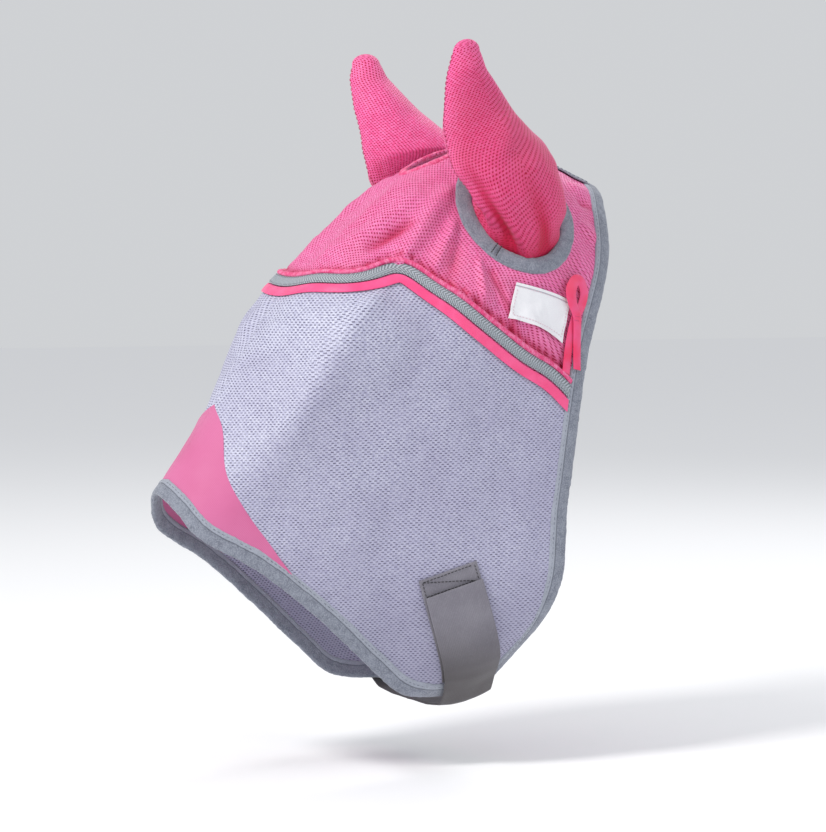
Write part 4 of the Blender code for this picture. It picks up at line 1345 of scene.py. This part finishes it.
def closure(strap, hook, stitch):
    """The loop patch, the tab that closes over it, and the strap under the jaw sewn on the off cheek."""
    path = strap_path()
    points, run, near_fold, far_fold = path
    half_way = (near_fold + far_fold) / 2

    obj, _, _ = strap_cloth_piece("closing_tab_tape", path, 0, half_way + .004, TAPE)
    finished(obj, strap, "strap", "closure_tab", body=None)
    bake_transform(obj)
    obj, _, _ = strap_cloth_piece(
        "tab_hook_tape", path, .003, .070, PAD, -(TAPE / 2 + CLEAR + PAD / 2), .002, 60
    )
    finished(obj, hook, "hook", "tab_hook_pad", body="closing_tab")
    obj, under, out = strap_cloth_piece(
        "jaw_strap_tape", path, half_way - .004, run[-1], TAPE, shift=-.0003
    )
    finished(obj, strap, "strap", "jaw_strap", "strap_anchor", body=None)
    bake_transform(obj)
    for number, column in enumerate((-4, -22)):
        row, normals = under[2:-2, column], out[2:-2, column]
        stitches(f"anchor_stitches_{number + 1}", row + normals * TAPE / 2, normals, stitch, "strap")
    loop_patch(strap, stitch)


def loop_patch(strap, stitch):
    """The patch sewn on the near cheek under the tab, stitched along its edges and once at a slant."""
    shares = np.linspace(-1.06, 1, 21)
    top_row, low_row = 1, 7
    table = []
    for share in shares:
        patch_top, places = cheek_places(share, 31)
        table.append(joined(line(patch_top, places[0], 8), places[:26]))
    table = np.array(table)
    base = raw_form(table)
    patch = form(table, PANEL / 2 + CLEAR + PAD / 2 + bumps(base, .02, .0004))
    reach = lengths_along(base[10])
    obj = grid_object(
        "loop_patch_tape", patch, cloth_map((shares * STRAP_HALF)[:, None], reach[None, :] - .2)
    )
    thicken(obj, PAD, rim=.0003)
    finished(obj, strap, "strap", "loop_patch")
    normals = outward(table)
    edges = {
        "top": (slice(1, -1), top_row), "low": (slice(1, -1), low_row),
        "front": (1, slice(1, 8)), "rear": (-2, slice(1, 8)),
    }
    rows = [(name, patch[where], normals[where], PAD / 2) for name, where in edges.items()]
    # The slanted row runs from the upper front corner to the lower rear corner.
    share = np.linspace(0, 1, 18)[:, None]
    slanted = patch[1:-2, top_row] * (1 - share) + patch[1:-2, low_row] * share
    rows.append(("slant", slanted, normals[1:-2, 4], PAD / 2 + .0002))
    for name, row, out, lift in rows:
        stitches("patch_stitches_" + name, row + out * lift, out, stitch, "strap", **PATCH_STITCH)


# Stage, light and camera.


def plain_floor():
    """A wide pale floor a little below the mask."""
    material = bpy.data.materials.new("pale_floor")
    material.use_nodes = True
    shader = material.node_tree.nodes["Principled BSDF"]
    shader.inputs["Base Color"].default_value = (.97, .97, .98, 1)
    shader.inputs["Roughness"].default_value = .9
    shader.inputs["Specular IOR Level"].default_value = 0
    mesh = bpy.data.meshes.new("floor")
    height = cad_box[0][2] - FLOOR_DROP
    corners = [(x * FLOOR_REACH, y * FLOOR_REACH, height) for x, y in ((-1, -1), (1, -1), (1, 1), (-1, 1))]
    mesh.from_pydata(corners, [], [(0, 1, 2, 3)])
    floor = bpy.data.objects.new("floor", mesh)
    floor.data.materials.append(material)
    bpy.context.scene.collection.objects.link(floor)


def area_light(name, place, size, power, colour):
    """A soft disc light aimed at the middle of the mask."""
    lamp = bpy.data.lights.new(name, "AREA")
    lamp.shape = "DISK"
    lamp.size = size
    lamp.energy = power
    lamp.color = colour
    obj = bpy.data.objects.new(name, lamp)
    obj.location = place
    obj.rotation_euler = (MIDDLE - Vector(place)).to_track_quat("-Z", "Y").to_euler()
    bpy.context.scene.collection.objects.link(obj)


def stage_and_camera():
    """The floor, the studio light and the camera at the photograph's angle."""
    scene = bpy.context.scene
    scene.view_settings.view_transform = "Standard"
    plain_floor()
    world = bpy.data.worlds.new("studio")
    world.use_nodes = True
    background = world.node_tree.nodes["Background"]
    background.inputs["Color"].default_value = (.95, .97, 1, 1)
    background.inputs["Strength"].default_value = .66
    scene.world = world
    for light in LIGHTS:
        area_light(*light)
    back = Vector((
        math.sin(AZIMUTH) * math.cos(ELEVATION), -math.cos(AZIMUTH) * math.cos(ELEVATION),
        math.sin(ELEVATION),
    ))
    lens = bpy.data.cameras.new("camera")
    lens.lens = LENS
    lens.sensor_width = SENSOR
    camera = bpy.data.objects.new("camera", lens)
    camera.location = MIDDLE + back * CAMERA_DISTANCE
    camera.rotation_euler = (-back).to_track_quat("-Z", "Y").to_euler()
    scene.collection.objects.link(camera)
    scene.camera = camera


stage_and_camera()
fleece = fleece_cloth()
crown_airmesh = airmesh_cloth("crown_airmesh", (.86, .245, .50), (.78, .14, .36), (.40, .012, .06))
ear_airmesh = airmesh_cloth("ear_airmesh", (.93, .19, .46), (.86, .10, .31), (.40, .004, .03))
hem = hem_cloth()
strap = strap_cloth()
grey_thread = thread("grey_thread", (.22, .24, .29))
dark_thread = thread("dark_thread", (.04, .04, .045))
pink_thread = thread("pink_thread", (.62, .07, .20))
pale_thread = thread("pale_thread", (.85, .60, .68))
face_cloth(face_mesh_cloth())
nose_cloth_panel(nose_cloth())
crown_cloth(crown_airmesh)
bindings(fleece, grey_thread)
ear_rings(fleece, grey_thread, dark_thread)
brow_trims(webbing_cloth(), satin_cloth("brow_satin", (.98, .11, .31), (.93, .07, .24)), hem, grey_thread)
poll_and_forelock(fleece, hem, grey_thread)
label_patch(label_cloth(), pale_thread)
ribbon_loop(satin_cloth("loop_satin", (.88, .035, .13), (.88, .09, .25), .3), pink_thread)
ear_covers(ear_airmesh, pink_thread)
closure(strap, hook_cloth(), dark_thread)
